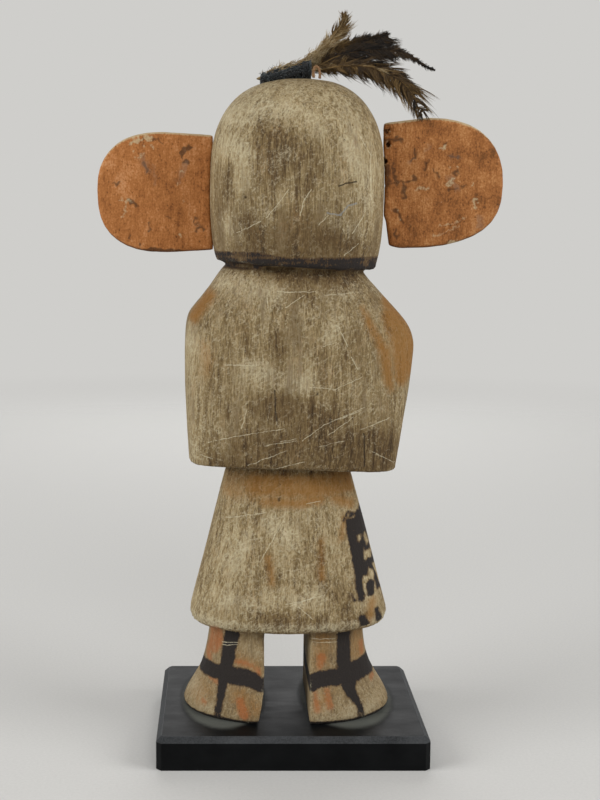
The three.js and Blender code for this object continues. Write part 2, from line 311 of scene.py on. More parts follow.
def keep(piece: bpy.types.Object, name: str, values: Sequence[float] | np.ndarray, domain: str = "POINT") -> None:
    """Keep one number for each point or face, where the material can read it.

    Args:
        piece: the piece.
        name: the attribute's name.
        values: the numbers, in the mesh's order.
        domain: POINT or FACE.
    """
    attribute = piece.data.attributes.new(name, "FLOAT", domain)
    attribute.data.foreach_set("value", np.asarray(values, np.float32))


@dataclass
class Skin:
    """A piece's vertices as arrays, for carving and for painting."""

    piece: bpy.types.Object

    def __post_init__(self) -> None:
        """Read the mesh."""
        mesh = self.piece.data
        flat = np.zeros(len(mesh.vertices) * 3, np.float32)
        mesh.vertices.foreach_get("co", flat)
        self.points = flat.reshape(-1, 3).astype(float) / MM
        pairs = np.zeros(len(mesh.edges) * 2, np.int32)
        mesh.edges.foreach_get("vertices", pairs)
        self.edges = pairs.reshape(-1, 2)
        self.degree = np.bincount(self.edges.ravel(), minlength=len(self.points)).astype(float)[:, None]
        self.read_normals()

    def read_normals(self) -> None:
        """Read the vertex normals of the mesh as it now is."""
        flat = np.zeros(len(self.piece.data.vertices) * 3, np.float32)
        self.piece.data.vertex_normals.foreach_get("vector", flat)
        self.normals = flat.reshape(-1, 3).astype(float)

    def write(self) -> None:
        """Put the points back into the mesh."""
        self.piece.data.vertices.foreach_set("co", (self.points * MM).astype(np.float32).ravel())
        self.piece.data.update()
        self.read_normals()

    def neighbour_mean(self, values: np.ndarray) -> np.ndarray:
        """Average each vertex's neighbours.

        Args:
            values: one row for each vertex.

        Returns:
            The averages, in the same rows.
        """
        total = np.zeros_like(values)
        for column in range(values.shape[1]):
            for here, there in ((0, 1), (1, 0)):
                total[:, column] += np.bincount(
                    self.edges[:, here], weights=values[self.edges[:, there], column], minlength=len(values)
                )
        return total / self.degree

    def evened(self, values: np.ndarray, rounds: int) -> np.ndarray:
        """Even out one number for each vertex.

        Args:
            values: the numbers.
            rounds: how often each moves half way to its neighbours.

        Returns:
            The evened numbers.
        """
        column = values[:, None]
        for _ in range(rounds):
            column = 0.5 * column + 0.5 * self.neighbour_mean(column)
        return column[:, 0]

    def relax(self, rounds: int, hold: np.ndarray | None = None) -> None:
        """Smooth the skin.

        Args:
            rounds: how often each point moves half way to its neighbours.
            hold: a share from 0 to 1 for each point, 1 where it stays.
        """
        share = 0.5 if hold is None else 0.5 * (1 - hold[:, None])
        for _ in range(rounds):
            self.points += share * (self.neighbour_mean(self.points) - self.points)

    def crease(self, rounds: int = 2) -> np.ndarray:
        """Measure how far each point stands proud of its neighbours.

        Args:
            rounds: how often the measure is evened out.

        Returns:
            Millimetres, above 0 on an edge and below 0 in a groove.
        """
        proud = ((self.points - self.neighbour_mean(self.points)) * self.normals).sum(1)
        return self.evened(proud, rounds)

    def waves(self, size: Triple, seed: float) -> np.ndarray:
        """Sample smooth noise over the skin.

        Args:
            size: the noise's length along X, Y and Z.
            seed: a shift that picks another stretch of noise.

        Returns:
            About -1 to 1 for each point.
        """
        scaled = self.points / np.array(size) + seed
        return np.array([noise.noise(Vector(row)) for row in scaled])

    def push(self, amount: np.ndarray) -> None:
        """Move each point along its normal by its own amount."""
        self.points += self.normals * amount[:, None]
        self.write()

    def whittle(self, first: int, rounds: int, crisp: Pair) -> None:
        """Soften the faces of the skin and keep its edges.

        Args:
            first: how often the whole skin is smoothed, to rid it of the remesh's steps.
            rounds: how often the faces are smoothed after that.
            crisp: how proud a point stands where an edge starts to be kept, and where it is kept whole.
        """
        self.relax(first)
        self.write()
        self.relax(rounds, soft_step(np.abs(self.crease(1)), *crisp))
        self.write()


def soft_step(values: np.ndarray, low: float, high: float) -> np.ndarray:
    """Turn values into shares that rise smoothly from 0 at low to 1 at high."""
    share = np.clip((values - low) / (high - low), 0, 1)
    return share * share * (3 - 2 * share)


# ---------- brush work ----------


class Face(Enum):
    """Which side of the doll a stroke is painted on.

    Each holds the factors of x and y and the margin that add up to more than 0 on that side, and the two axes that
    the stroke is drawn across.
    """

    BACK = (0.0, 1.0, 2.0, 0, 2)
    FRONT = (0.0, -1.0, 2.0, 0, 2)
    ROUND = (0.0, 0.0, 1.0, 0, 2)
    RIGHT = (-1.0, 0.0, -24.0, 1, 2)

    def flat(self, points: np.ndarray) -> np.ndarray:
        """Give the two coordinates that a stroke on this side is drawn in."""
        return points[:, self.value[3:]]

    def covers(self, points: np.ndarray) -> np.ndarray:
        """Say which points lie on this side."""
        turn_x, turn_y, margin = self.value[:3]
        return turn_x * points[:, 0] + turn_y * points[:, 1] + margin > 0


def meet(flat: np.ndarray, start: Pair, end: Pair) -> tuple[np.ndarray, np.ndarray]:
    """Find where a straight run comes closest to each point.

    Args:
        flat: the points, in the run's two axes.
        start: the run's start.
        end: the run's end.

    Returns:
        The share of the run at that place, and the distance to it.
    """
    foot, run = np.array(start), np.subtract(end, start)
    share = np.clip((flat - foot) @ run / (run @ run), 0, 1)
    return share, np.linalg.norm(flat - foot - share[:, None] * run, axis=1)


@dataclass(frozen=True)
class Stroke:
    """A brush stroke: its route across the doll, and its half width at each point of the route."""

    route: Route
    half_widths: tuple[float, ...]
    face: Face = Face.BACK

    def depth(self, points: np.ndarray) -> np.ndarray:
        """Measure how deep inside the stroke each point lies.

        Args:
            points: one row for each point.

        Returns:
            Millimetres, below 0 outside.
        """
        flat = self.face.flat(points)
        depth = np.full(len(flat), OUTSIDE)
        for start, end, wide, wide_end in zip(self.route, self.route[1:], self.half_widths, self.half_widths[1:]):
            share, away = meet(flat, start, end)
            depth = np.maximum(depth, wide + (wide_end - wide) * share - away)
        return np.where(self.face.covers(points), depth, OUTSIDE)


@dataclass(frozen=True)
class Patch:
    """A filled patch of paint inside an outline."""

    outline: Route
    face: Face = Face.BACK

    def depth(self, points: np.ndarray) -> np.ndarray:
        """Measure how deep inside the patch each point lies.

        Args:
            points: one row for each point.

        Returns:
            Millimetres, below 0 outside.
        """
        flat = self.face.flat(points)
        inside = np.zeros(len(flat), bool)
        nearest = np.full(len(flat), -OUTSIDE)
        for start, end in zip(self.outline, self.outline[1:] + self.outline[:1]):
            nearest = np.minimum(nearest, meet(flat, start, end)[1])
            if start[1] != end[1]:
                crossing = start[0] + (flat[:, 1] - start[1]) * (end[0] - start[0]) / (end[1] - start[1])
                inside ^= ((flat[:, 1] > start[1]) != (flat[:, 1] > end[1])) & (flat[:, 0] < crossing)
        return np.where(self.face.covers(points), np.where(inside, nearest, -nearest), OUTSIDE)


def painted_depth(points: np.ndarray, marks: Iterable[Stroke | Patch]) -> np.ndarray:
    """Measure how deep inside any of several marks each point is."""
    return np.max([mark.depth(points) for mark in marks], axis=0)


def dab(x: float, z: float, half: float) -> Stroke:
    """Place one round dab on the doll's back."""
    return line(half, (x, z), (x + 0.01, z))


def line(half: float, *route: Pair) -> Stroke:
    """Draw a line of even width on the doll's back."""
    return Stroke(route, (half,) * len(route))


# ---------- finishes ----------


@dataclass(frozen=True)
class ClayPaint:
    """Kaolin brushed over carved cottonwood root, rubbed through to the grain, with mineral paints on top.

    It is dead matt. Hand dirt lies in its grain, its grooves are darkened with grime and painted shade, and its
    raised edges are worn pale.
    """

    name: str = "kaolin_over_cottonwood"
    roughness: float = 0.85
    ground: tuple[tuple[float, str], ...] = (
        (0.0, "#382816"),
        (0.27, "#604b2d"),
        (0.46, "#7e6a46"),
        (0.6, "#96825c"),
        (0.78, "#b5a37d"),
        (1.0, "#d3c6a6"),
    )
    # Scratches on the doll's back, each along its own route in x and z.
    scratches: tuple[Route, ...] = (
        ((1.9, 219.5), (4.9, 215), (10, 209.1)), ((-6.6, 219.5), (-4, 215.8), (-2.6, 209.9)),
        ((-13.1, 209.9), (-9.4, 206.2)), ((-26.9, 209.8), (-22.5, 203.1)), ((-25, 199.3), (-19.6, 194.9)),
        ((-25.3, 238.9), (-29.4, 232.3), (-29.7, 215.8)), ((12.3, 207.6), (21.2, 203.1)), ((-4.8, 180), (2.6, 175.2)),
        ((-17.7, 167.8), (-21.2, 160.4)), ((-11.7, 160.5), (-16.9, 162.1)), ((5.4, 181.1), (-8.8, 181.1)),
        ((-12.3, 179.7), (-23.4, 180.6)), ((9.4, 179.1), (9.2, 175.2)), ((11.4, 157.6), (10.8, 154.7)),
        ((25.4, 153.3), (12.8, 153.3)), ((-6.7, 144.9), (-16.5, 144.3), (-26.9, 148.8)), ((-25, 151.7), (-22.7, 156.4)),
        ((-18.4, 132.6), (-26.5, 135.9)), ((32, 123.2), (21.1, 125.9), (2.7, 128.9)), ((4.2, 123.7), (-2, 124.9)),
        ((-4.3, 124.1), (-12.6, 130.4), (-28.1, 137.2)), ((-14.2, 126.5), (-23.5, 133.4)),
        ((-10.5, 121.7), (-20.5, 124.4)), ((10.3, 122.1), (-2, 124.1)), ((-26.7, 128.6), (-37.9, 132.6)),
        ((16.5, 114.4), (1.9, 120.2)), ((6.4, 112.9), (-5.2, 115.7)), ((-30.9, 119.9), (-40.8, 114.4)),
        ((6.2, 135.9), (5.4, 130.4)), ((16.9, 136.6), (19.2, 128.7)), ((34.8, 117.9), (30.4, 116.9)),
        ((1.5, 93.7), (11.6, 75.8)), ((25, 91.4), (9.3, 94.8)), ((-6.4, 97.9), (-12, 98.9)),
        ((-0.1, 58.8), (-10.3, 62.8)), ((1.6, 59.5), (-13.5, 62.9)), ((-3.1, 58.6), (-8.7, 53.9)),
        ((26.5, 40.6), (20.3, 41.9)), ((26.2, 39.7), (20.6, 40.9)), ((-8.2, 44.5), (-17.9, 43.6)),
        ((-9.2, 43), (-19, 42)),
    )
    # A grey-blue scribble, then the cracks and dark scores.
    scribble: tuple[Route, ...] = (((-12.7, 210.6), (-17.7, 209.9), (-20.8, 213.6), (-23.9, 214.3)),)
    cracks: tuple[Route, ...] = (
        ((-16.8, 220.6), (-19.1, 221.6), (-23.8, 222.2)), ((6.5, 144), (5.8, 132)), ((-27.9, 126.9), (-28.3, 114)),
    )

    def build(self) -> bpy.types.Material:
        """Build the material.

        Returns:
            The finish of the carved figure.
        """
        material, tree = new_material(self.name)
        marks = {
            name: add_node(tree, "Attribute", output="Fac", attribute_name=name)
            for name in ("black", "tone", "ochre", "orange", "chalk", "edge", "streak", "tan")
        }
        fine = grain(tree, (0.5, 0.5, 5.0), 2.0, rough=0.7)
        lines = grain(tree, (2.0, 2.0, 26.0), 4.0, 1.5, rough=0.8)
        broad = grain(tree, (6.0, 6.0, 42.0), 2.0, -1.0)
        cloud = grain(tree, (8.0, 8.0, 19.0), 6.0, rough=0.8)
        patches = grain(tree, (8.0, 8.0, 14.0), 5.0, rough=0.75, shift=5.0)
        speck = grain(tree, (0.8, 0.8, 1.0), 2.0, rough=0.8)
        pits = grain(tree, (1.0, 1.0, 1.4), 2.0, rough=0.7, shift=9.0)

        fibres = ((fine, 0.9), (lines, 1.3), (broad, 0.4))
        # The tone mark lightens and darkens the clay: clean places and painted highlight, grime and painted shade.
        body = blended(tree, *fibres, (cloud, 0.2), (speck, 0.3), (marks["tone"], 0.12), (-1.06, 1.0))
        colour = add_node(tree, "ValToRGB", {"Fac": body}, stops=self.ground)
        leans = ((3.4, 1.9, 14.0, 0.5, 0.09), (2.3, 1.5, -32.0, 0.54, 0.08), (4.0, 1.3, 62.0, 0.46, 0.08))
        veins = [(hairlines(tree, *lean), 0.3) for lean in leans]
        rubbed = ((patches, 0.55), (lines, 0.7), (speck, 0.4), (marks["chalk"], 0.25), (marks["tone"], 0.12))
        chalk = blended(tree, *veins, *rubbed)
        colour = coat(tree, colour, "#cbbf9f", chalk, 0.85, 2.1, 0.85)
        colour = coat(tree, colour, "#8f7a5a", blended(tree, (marks["tan"], 1.0), (cloud, 0.4)), 0.1, 1.2, 0.4)
        streaks = blended(tree, (lines, 1.0), (broad, 0.8), (marks["streak"], 0.2))
        colour = coat(tree, colour, "#553f20", streaks, 0.98, 1.22, 0.65)
        ochre = blended(tree, (marks["ochre"], 1.0), (cloud, 1.1), (lines, 0.9), (fine, 0.5), (speck, 0.7))
        colour = coat(tree, colour, "#8f5e1a", ochre, 1.6, 2.85, 0.8)
        orange = blended(tree, (marks["orange"], 1.0), (cloud, 1.5), (speck, 0.8), (fine, 0.5))
        colour = coat(tree, colour, "#a45f30", orange, 1.5, 2.9, 0.9)
        colour = coat(tree, colour, "#33240f", pits, 0.34, 0.22, 0.75)
        # Darker in grooves, where the crease mark is below 0: grime that settles there, and painted shade.
        colour = coat(tree, colour, "#3b2b18", marks["edge"], -0.03, -0.2, 0.8)

        ragged = blended(tree, (marks["black"], 1.0), (cloud, 1.7), (fine, 1.3), (speck, 1.2))
        colour = coat(tree, colour, "#4d3722", ragged, 1.6, 2.05, 0.8)
        chips = grain(tree, (2.6, 2.6, 0.8), 4.0, rough=0.75, shift=4.0)
        flakes = blended(tree, (chips, 1.0), (marks["edge"], 0.5))
        thick = {"Value": ragged, "From Min": 2.0, "From Max": 2.4}
        solid = add_node(tree, "MapRange", thick, interpolation_type="SMOOTHSTEP")
        whole = add_node(tree, "MapRange", {"Value": flakes, "From Min": 0.72, "From Max": 0.66})
        ink = add_node(tree, "Math", {0: solid, 1: whole}, operation="MULTIPLY")
        colour = coat(tree, colour, "#25201e", blended(tree, (ink, 1.0), (patches, -0.2)), 0.0, 0.75, 0.97)

        worn = blended(tree, (marks["edge"], 2.4), (speck, 1.0), (patches, 1.0))
        colour = coat(tree, colour, "#c9c0a2", worn, 1.25, 1.8, 0.8)
        scored = blended(tree, (self.score(tree, 0.18, self.scratches), 0.6), (speck, 0.7), (cloud, 0.8))
        colour = coat(tree, colour, "#d2c9ac", scored, 1.05, 1.45, 0.72)
        colour = coat(tree, colour, "#8d9597", self.score(tree, 0.3, self.scribble), 0.0, 1.0, 0.55)
        cracked = self.score(tree, 0.2, self.cracks)
        colour = coat(tree, colour, "#2b1e10", cracked, 0.0, 1.0, 0.85)

        wood = ((fine, 0.3), (lines, 0.3), (speck, 0.45), (cloud, 0.5), (pits, 0.4))
        height = blended(tree, *wood, (chalk, 0.25), (cracked, -0.8), (ink, 0.04))
        close_material(tree, colour, self.roughness, height, 0.5, Specular_IOR_Level=0.35)
        return material

    @staticmethod
    def score(tree: Tree, half: float, routes: Sequence[Route]) -> Socket:
        """Score wavering lines into the doll's back.

        Args:
            tree: the material's nodes.
            half: half the lines' width.
            routes: each line's route in x and z.

        Returns:
            The mask of the lines.
        """
        place = add_node(tree, "TexCoord", output="Object")
        waver = add_node(tree, "TexNoise", {"Vector": place, "Scale": 1 / (2.5 * MM), "Detail": 2.0}, output=1)
        seat = {0: place, 1: (1 / MM, 0, 1 / MM), 2: (-SEAT[0], 0, -SEAT[2])}
        flat = add_node(tree, "VectorMath", seat, operation="MULTIPLY_ADD")
        moved = add_node(tree, "VectorMath", {0: waver, 1: (1.1, 0, 1.1), 2: flat}, operation="MULTIPLY_ADD")
        moved = add_node(tree, "VectorMath", {0: moved, 1: (0.55, 0, 0.55)}, operation="SUBTRACT")
        nearest: Socket | float = 9.0
        for (x, z), (x_end, z_end) in (run for route in routes for run in zip(route, route[1:])):
            run = Vector((x_end - x, 0, z_end - z))
            offset = add_node(tree, "VectorMath", {0: moved, 1: (x, 0, z)}, operation="SUBTRACT")
            along = {0: offset, 1: run / run.length_squared}
            share = add_node(tree, "VectorMath", along, "Value", operation="DOT_PRODUCT")
            reached = {0: run, "Scale": add_node(tree, "Clamp", {"Value": share})}
            foot = add_node(tree, "VectorMath", reached, operation="SCALE")
            away = add_node(tree, "VectorMath", {0: offset, 1: foot}, "Value", operation="DISTANCE")
            nearest = add_node(tree, "Math", {0: away, 1: nearest}, operation="MINIMUM")
        near = add_node(tree, "MapRange", {"Value": nearest, "From Min": half * 1.6, "From Max": half * 0.4})
        depth = add_node(tree, "SeparateXYZ", {0: place}, 1)
        behind = add_node(tree, "Math", {0: depth, 1: 0.0}, operation="GREATER_THAN")
        return add_node(tree, "Math", {0: near, 1: behind}, operation="MULTIPLY")


@dataclass(frozen=True)
class BoardPaint:
    """Iron ochre rubbed on to a thin board: matt, cloudy and streaked, its rim worn to the pale ground."""

    name: str
    shades: tuple[str, str, str, str]
    roughness: float = 0.82

    def build(self) -> bpy.types.Material:
        """Build the material.

        Returns:
            The finish of an ear.
        """
        material, tree = new_material(self.name)
        marks = {
            name: add_node(tree, "Attribute", output="Fac", attribute_name=name)
            for name in ("dirt_and_shade", "pale", "grey", "edge")
        }
        fine = grain(tree, (0.5, 0.5, 4.0), 3.0, rough=0.7)
        brushed = grain(tree, (1.8, 1.8, 14.0), 4.0, 4.0, rough=0.65)
        cloud = grain(tree, (9.0, 9.0, 11.0), 6.0, rough=0.72)
        speck = grain(tree, (0.7, 0.7, 0.8), 2.0)
        body = blended(tree, (fine, 0.2), (brushed, 0.2), (cloud, 0.65), (speck, 0.37), (-0.19, 1.0))
        places = (0.34, 0.45, 0.54, 0.66)
        colour = add_node(tree, "ValToRGB", {"Fac": body}, stops=tuple(zip(places, self.shades)))
        colour = coat(tree, colour, "#6e4420", blended(tree, (brushed, 1.0), (cloud, 0.7)), 0.95, 1.2, 0.25)
        # Dark smudges and darkened holes, with painted shade on the board's lower faces.
        smudged = blended(tree, (marks["dirt_and_shade"], 0.85), (speck, 0.9), (cloud, 0.9))
        colour = coat(tree, colour, "#3b2414", smudged, 1.15, 1.75, 0.75)
        greyed = blended(tree, (marks["grey"], 0.8), (speck, 0.7), (cloud, 0.9))
        colour = coat(tree, colour, "#85705f", greyed, 1.0, 1.9, 0.45)
        colour = coat(tree, colour, "#4b2e19", speck, 0.34, 0.27, 0.6)
        rubbed = blended(tree, (marks["pale"], 0.7), (marks["edge"], 4.2), (speck, 1.0), (cloud, 0.8))
        colour = coat(tree, colour, "#c4b08a", rubbed, 1.05, 1.75, 0.85)
        leans = ((10.0, 2.0, 70.0, 0.6), (14.0, 2.4, 20.0, 0.62), (9.0, 2.2, -35.0, 0.63))
        scratches = [(hairlines(tree, *lean, 0.006), 0.55) for lean in leans]
        scored = blended(tree, *scratches, (cloud, 0.8))
        colour = coat(tree, colour, "#cfa37a", scored, 0.88, 1.1, 0.55)
        height = blended(tree, (fine, 0.5), (brushed, 0.4), (speck, 0.3), (scored, -0.2), (marks["dirt_and_shade"], -0.2))
        close_material(tree, colour, self.roughness, height, 0.25, Specular_IOR_Level=0.3)
        return material


@dataclass(frozen=True)
class DustyLacquer:
    """Black satin lacquer on wood: dust on its top, swept into a pale line round the soles, and rubbed edges.

    Its bevels are also lightened as a painted reflection.
    """

    name: str = "black_lacquered_wood"
    # Each sole's middle in x and y, and its half width and half depth, in the frame of the whole object.
    soles: tuple[tuple[float, float, float, float], ...] = ((26.9, -3.2, 15.6, 33.6), (-23.5, -3.2, 17.2, 33.6))

    def build(self) -> bpy.types.Material:
        """Build the material.

        Returns:
            The finish of the plinth.
        """
        material, tree = new_material(self.name)
        edge = add_node(tree, "Attribute", output="Fac", attribute_name="edge")
        place = add_node(tree, "TexCoord", output="Object")
        cloud = grain(tree, (16.0, 10.0, 10.0), 6.0, rough=0.65)
        fine = grain(tree, (0.5, 0.5, 0.5), 2.0)
        smears = grain(tree, (14.0, 2.0, 3.0), 4.0)
        up = add_node(tree, "SeparateXYZ", {0: add_node(tree, "NewGeometry", output="Normal")}, 2)
        level = add_node(tree, "MapRange", {"Value": up, "From Min": 0.85, "From Max": 1.0})
        nearest: Socket | float = 9.0
        for x, y, half_wide, half_deep in self.soles:
            offset = add_node(tree, "VectorMath", {0: place, 1: (x * MM, y * MM, 0.0)}, operation="SUBTRACT")
            across = (1 / (half_wide * MM), 1 / (half_deep * MM), 0.0)
            scaled = add_node(tree, "VectorMath", {0: offset, 1: across}, operation="MULTIPLY")
            away = add_node(tree, "VectorMath", {0: scaled}, "Value", operation="LENGTH")
            nearest = add_node(tree, "Math", {0: away, 1: nearest}, operation="MINIMUM")
        swept = {"Value": nearest, "From Min": 1.2, "From Max": 0.98}
        halo = add_node(tree, "MapRange", swept, interpolation_type="SMOOTHSTEP")
        colour = add_node(tree, "ValToRGB", {"Fac": cloud}, stops=((0.35, "#0c0d0e"), (0.65, "#141516")))
        settled = add_node(tree, "Math", {0: blended(tree, (halo, 1.5), (0.15, 1.0)), 1: level}, operation="MULTIPLY")
        powder = blended(tree, (settled, 1.0), (cloud, 0.9), (smears, 0.4), (fine, 0.6), (-0.3, 1.0))
        colour = coat(tree, colour, "#676963", powder, 0.85, 2.7, 0.85)
        # The bevels are lightened: rubbed wear, and a painted reflection of the light.
        rubbed = blended(tree, (edge, 1.0), (cloud, 0.6), (fine, 0.5))
        colour = coat(tree, colour, "#5a5c5e", rubbed, 1.1, 1.9, 0.75)
        rough = blended(tree, (powder, 0.2), (cloud, 0.2), (0.22, 1.0))
        height = blended(tree, (cloud, 0.3), (fine, 0.15))
        close_material(tree, colour, rough, height, 0.06, IOR=1.16)
        return material


@dataclass(frozen=True)
class Strand:
    """Fibre that is shaded strand by strand: each keeps its own place between the first shade and the last."""

    name: str
    shades: tuple[str, ...]
    roughness: float
    sheen: float

    def build(self) -> bpy.types.Material:
        """Build the material.

        Returns:
            The finish of the yarn or of the feathers.
        """
        material, tree = new_material(self.name)
        shade = add_node(tree, "Attribute", output="Fac", attribute_name="shade")
        speck = grain(tree, (0.6, 0.6, 0.6), 2.0)
        place = blended(tree, (shade, 1.0), (speck, 0.3), (-0.15, 1.0))
        steps = len(self.shades) - 1
        stops = tuple((step / steps, code) for step, code in enumerate(self.shades))
        colour = add_node(tree, "ValToRGB", {"Fac": place}, stops=stops)
        nap = {"Sheen_Weight": self.sheen, "Sheen_Roughness": 0.5, "Specular_IOR_Level": 0.3}
        close_material(tree, colour, self.roughness, speck, 0.03, **nap)
        return material


@dataclass(frozen=True)
class MottledFinish:
    """A finish of two close colours, mottled at one real size."""

    name: str
    dark: str
    light: str
    size: Triple
    roughness: float
    relief: float

    def build(self) -> bpy.types.Material:
        """Build the material.

        Returns:
            The finish.
        """
        material, tree = new_material(self.name)
        cloud = grain(tree, self.size, 5.0)
        colour = add_node(tree, "ValToRGB", {"Fac": cloud}, stops=((0.35, self.dark), (0.65, self.light)))
        close_material(tree, colour, self.roughness, cloud, self.relief)
        return material


# Spun wool dyed with indigo and soot, dull and a little furry. Its paler shades are painted highlights.
WOOL_YARN = Strand("indigo_black_wool", ("#0b0d0f", "#15191b", "#22292b", "#3f4a4a"), 0.95, 0.35)
# Down and body feathers of a fowl: cream down, buff, olive brown, then nearly black.
FEATHER_BARBS = Strand("brown_fowl_feather", ("#b8a681", "#80653a", "#4c381b", "#2b1e0e", "#120c07"), 0.7, 0.05)
# Thin smoked hide, matt and slightly fluffy.
TAN_HIDE = MottledFinish("smoked_hide", "#6a4a30", "#9a7650", (0.7, 0.7, 0.7), 0.85, 0.08)


# ---------- pieces ----------


def finish_piece(piece: bpy.types.Object, slot: str, material: bpy.types.Material, *nodes: str) -> None:
    """Dress a piece, hide the CAD nodes it stands in for, let it ride on the doll, and log its faces.

    Args:
        piece: the finished mesh object.
        slot: the name of a material slot; it is not used.
        material: its finish.
        nodes: the CAD nodes that it replaces.
    """
    piece.data.materials.clear()
    piece.data.materials.append(material)
    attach(piece, "root")
    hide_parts(*nodes)
    LOG.info("%s: %d faces", piece.name, len(piece.data.polygons))


@dataclass
class CarvedFigure:
    """The figure that is whittled from one root: mask, trunk, kilt and boots."""

    node: bpy.types.Object
    voxel: float = 0.94
    crisp: Pair = (0.025, 0.06)

    # Heights on the doll: where the black of the soles ends, the kilt's hem and waist, the trunk's lower edge, the
    # painted shade under the mask's overhang, the mask's rim, and the end of the streaks above it.
    SOLE, HEM, WAIST, TRUNK, NECK, RIM, STREAKS = 13.3, 48.5, 108.6, 112.0, 183.5, 189.0, 222.0
    # The mask's middle in x, its half width and half depth, and how its rim rises towards the doll's left.
    MIDDLE, HALF_WIDE, HALF_DEEP, RISE = -2.35, 34.1, 29.0, 0.015
    # The band round the mask's rim: its upper edge from the doll's right to its left, x and z.
    BAND_TOP = (
        (-40, 193.6), (-31, 193.8), (2, 193.8), (8, 194.9), (13, 195.9), (30, 195.8), (40, 195.6),
    )
    # A cross on each boot, of an upright stripe down the heel and a band round the ankle, then the kilt's side panel.
    BLACK = (
        Stroke(((22.5, 45), (22.6, 44), (23.5, 40), (24, 36), (24.5, 33), (26.3, 25), (27.2, 21), (27.8, 17),
            (28.7, 12)), (2.8, 2.7, 2.5, 2.6, 2.4, 1.6, 1.3, 1.15, 1.3)),
        Stroke(((40, 28.5), (36, 28.7), (32.2, 28.8), (28.5, 29), (21.8, 28.9), (17.1, 29), (14.9, 28.4), (12.5, 27),
            (7, 26.5)), (2.4, 2.4, 2.7, 2.7, 3.3, 3.2, 3, 2.5, 2.5), Face.ROUND),
        Stroke(((-21.8, 45), (-21.9, 43), (-21.6, 36), (-21.8, 33), (-23.8, 26), (-24.2, 23.6), (-25.3, 21.6),
            (-27.3, 18.2), (-28.3, 15.8), (-28.6, 12)), (2.8, 2.8, 2.9, 2.9, 3.1, 2.2, 1.7, 1.2, 1.3, 1.7)),
        Stroke(((-5, 27.4), (-8.3, 27.4), (-12.2, 28.8), (-18.7, 28.9), (-24.6, 29.6), (-28, 29.6), (-30.6, 29.9),
            (-34, 29), (-40, 29)), (2.8, 3, 3.2, 3, 3.7, 3.6, 3.8, 3, 2.8), Face.ROUND),
        Stroke(((22.5, 45), (22.8, 30), (23.5, 12)), (2.2, 2.4, 2), Face.FRONT),
        Stroke(((-21, 45), (-21.4, 30), (-22.5, 12)), (2.2, 2.4, 2), Face.FRONT),
        Stroke(((-31, 92.9), (-24.5, 92.2), (-24, 91.5)), (0.9, 0.6, 0.6)),
        line(0.45, (-21.3, 90.8), (-22.2, 92.6), (-23.4, 93.8), (-24.5, 92.9), (-24.2, 91.5)),
        Patch(((-27.6, 92.9), (-26, 91.4), (-24.7, 91), (-22.6, 91.4), (-22.1, 90), (-22.5, 86.5), (-23.1, 82.6),
            (-23.9, 79.5), (-24.5, 76.8), (-25.1, 73.4), (-25.6, 70.6), (-26, 65), (-27, 59.4), (-28.2, 58.8),
            (-29.7, 59.4), (-29.5, 62.1), (-28.7, 66), (-29.2, 68.5), (-31.1, 68), (-31.7, 71), (-34, 69.2), (-45, 69),
            (-45, 94.5), (-28.4, 94.6))),
        Stroke(((-32.2, 64.2), (-32.5, 61.6)), (1.9, 1.5)), Stroke(((-34.9, 66), (-36.1, 62.4)), (0.8, 0.9)),
        line(0.4, (-24.8, 61.9), (-25, 60.4), (-25.7, 59.5)),
        Stroke(((-28.7, 52.6), (-30, 49.8), (-30.2, 46)), (1.4, 1.8, 2)),
        Stroke(((-34.9, 54.3), (-36.4, 48.8)), (0.9, 1.3)),
        Patch(((9, 93.5), (-13, 93.5), (-15, 62), (-5, 59), (9, 62)), Face.RIGHT),
    )
    BARE = (
        Patch(((-26.5, 84.2), (-28.9, 84), (-28.6, 82.4), (-27.7, 81.2), (-27, 82.4))),
        Stroke(((-30.4, 83.7), (-31.6, 79.9)), (0.7, 0.6)),
        Patch(((-29.9, 78.9), (-30.3, 77.8), (-32, 77.4), (-33.8, 76.6), (-33.4, 73.9), (-31.6, 74.4), (-30.1, 73.2),
            (-29.6, 75.2))),
        Patch(((6, 76), (-9, 76), (-9, 79.5), (3, 80.5)), Face.RIGHT),
        Patch(((9, 72), (5, 62), (-9, 64), (-9.5, 69.5), (3, 71)), Face.RIGHT),
        Patch(((-8, 90.5), (-2, 91), (-2, 82.5), (-9, 82)), Face.RIGHT),
    )
    # A plain painted face: two slit eyes and a small square mouth.
    FACE_MARKS = (
        Stroke(((9.5, 222), (19.5, 222)), (1.7, 1.7), Face.FRONT),
        Stroke(((-14, 222), (-24, 222)), (1.7, 1.7), Face.FRONT),
        Stroke(((-5, 206.5), (0.6, 206.5)), (2, 2), Face.FRONT),
    )
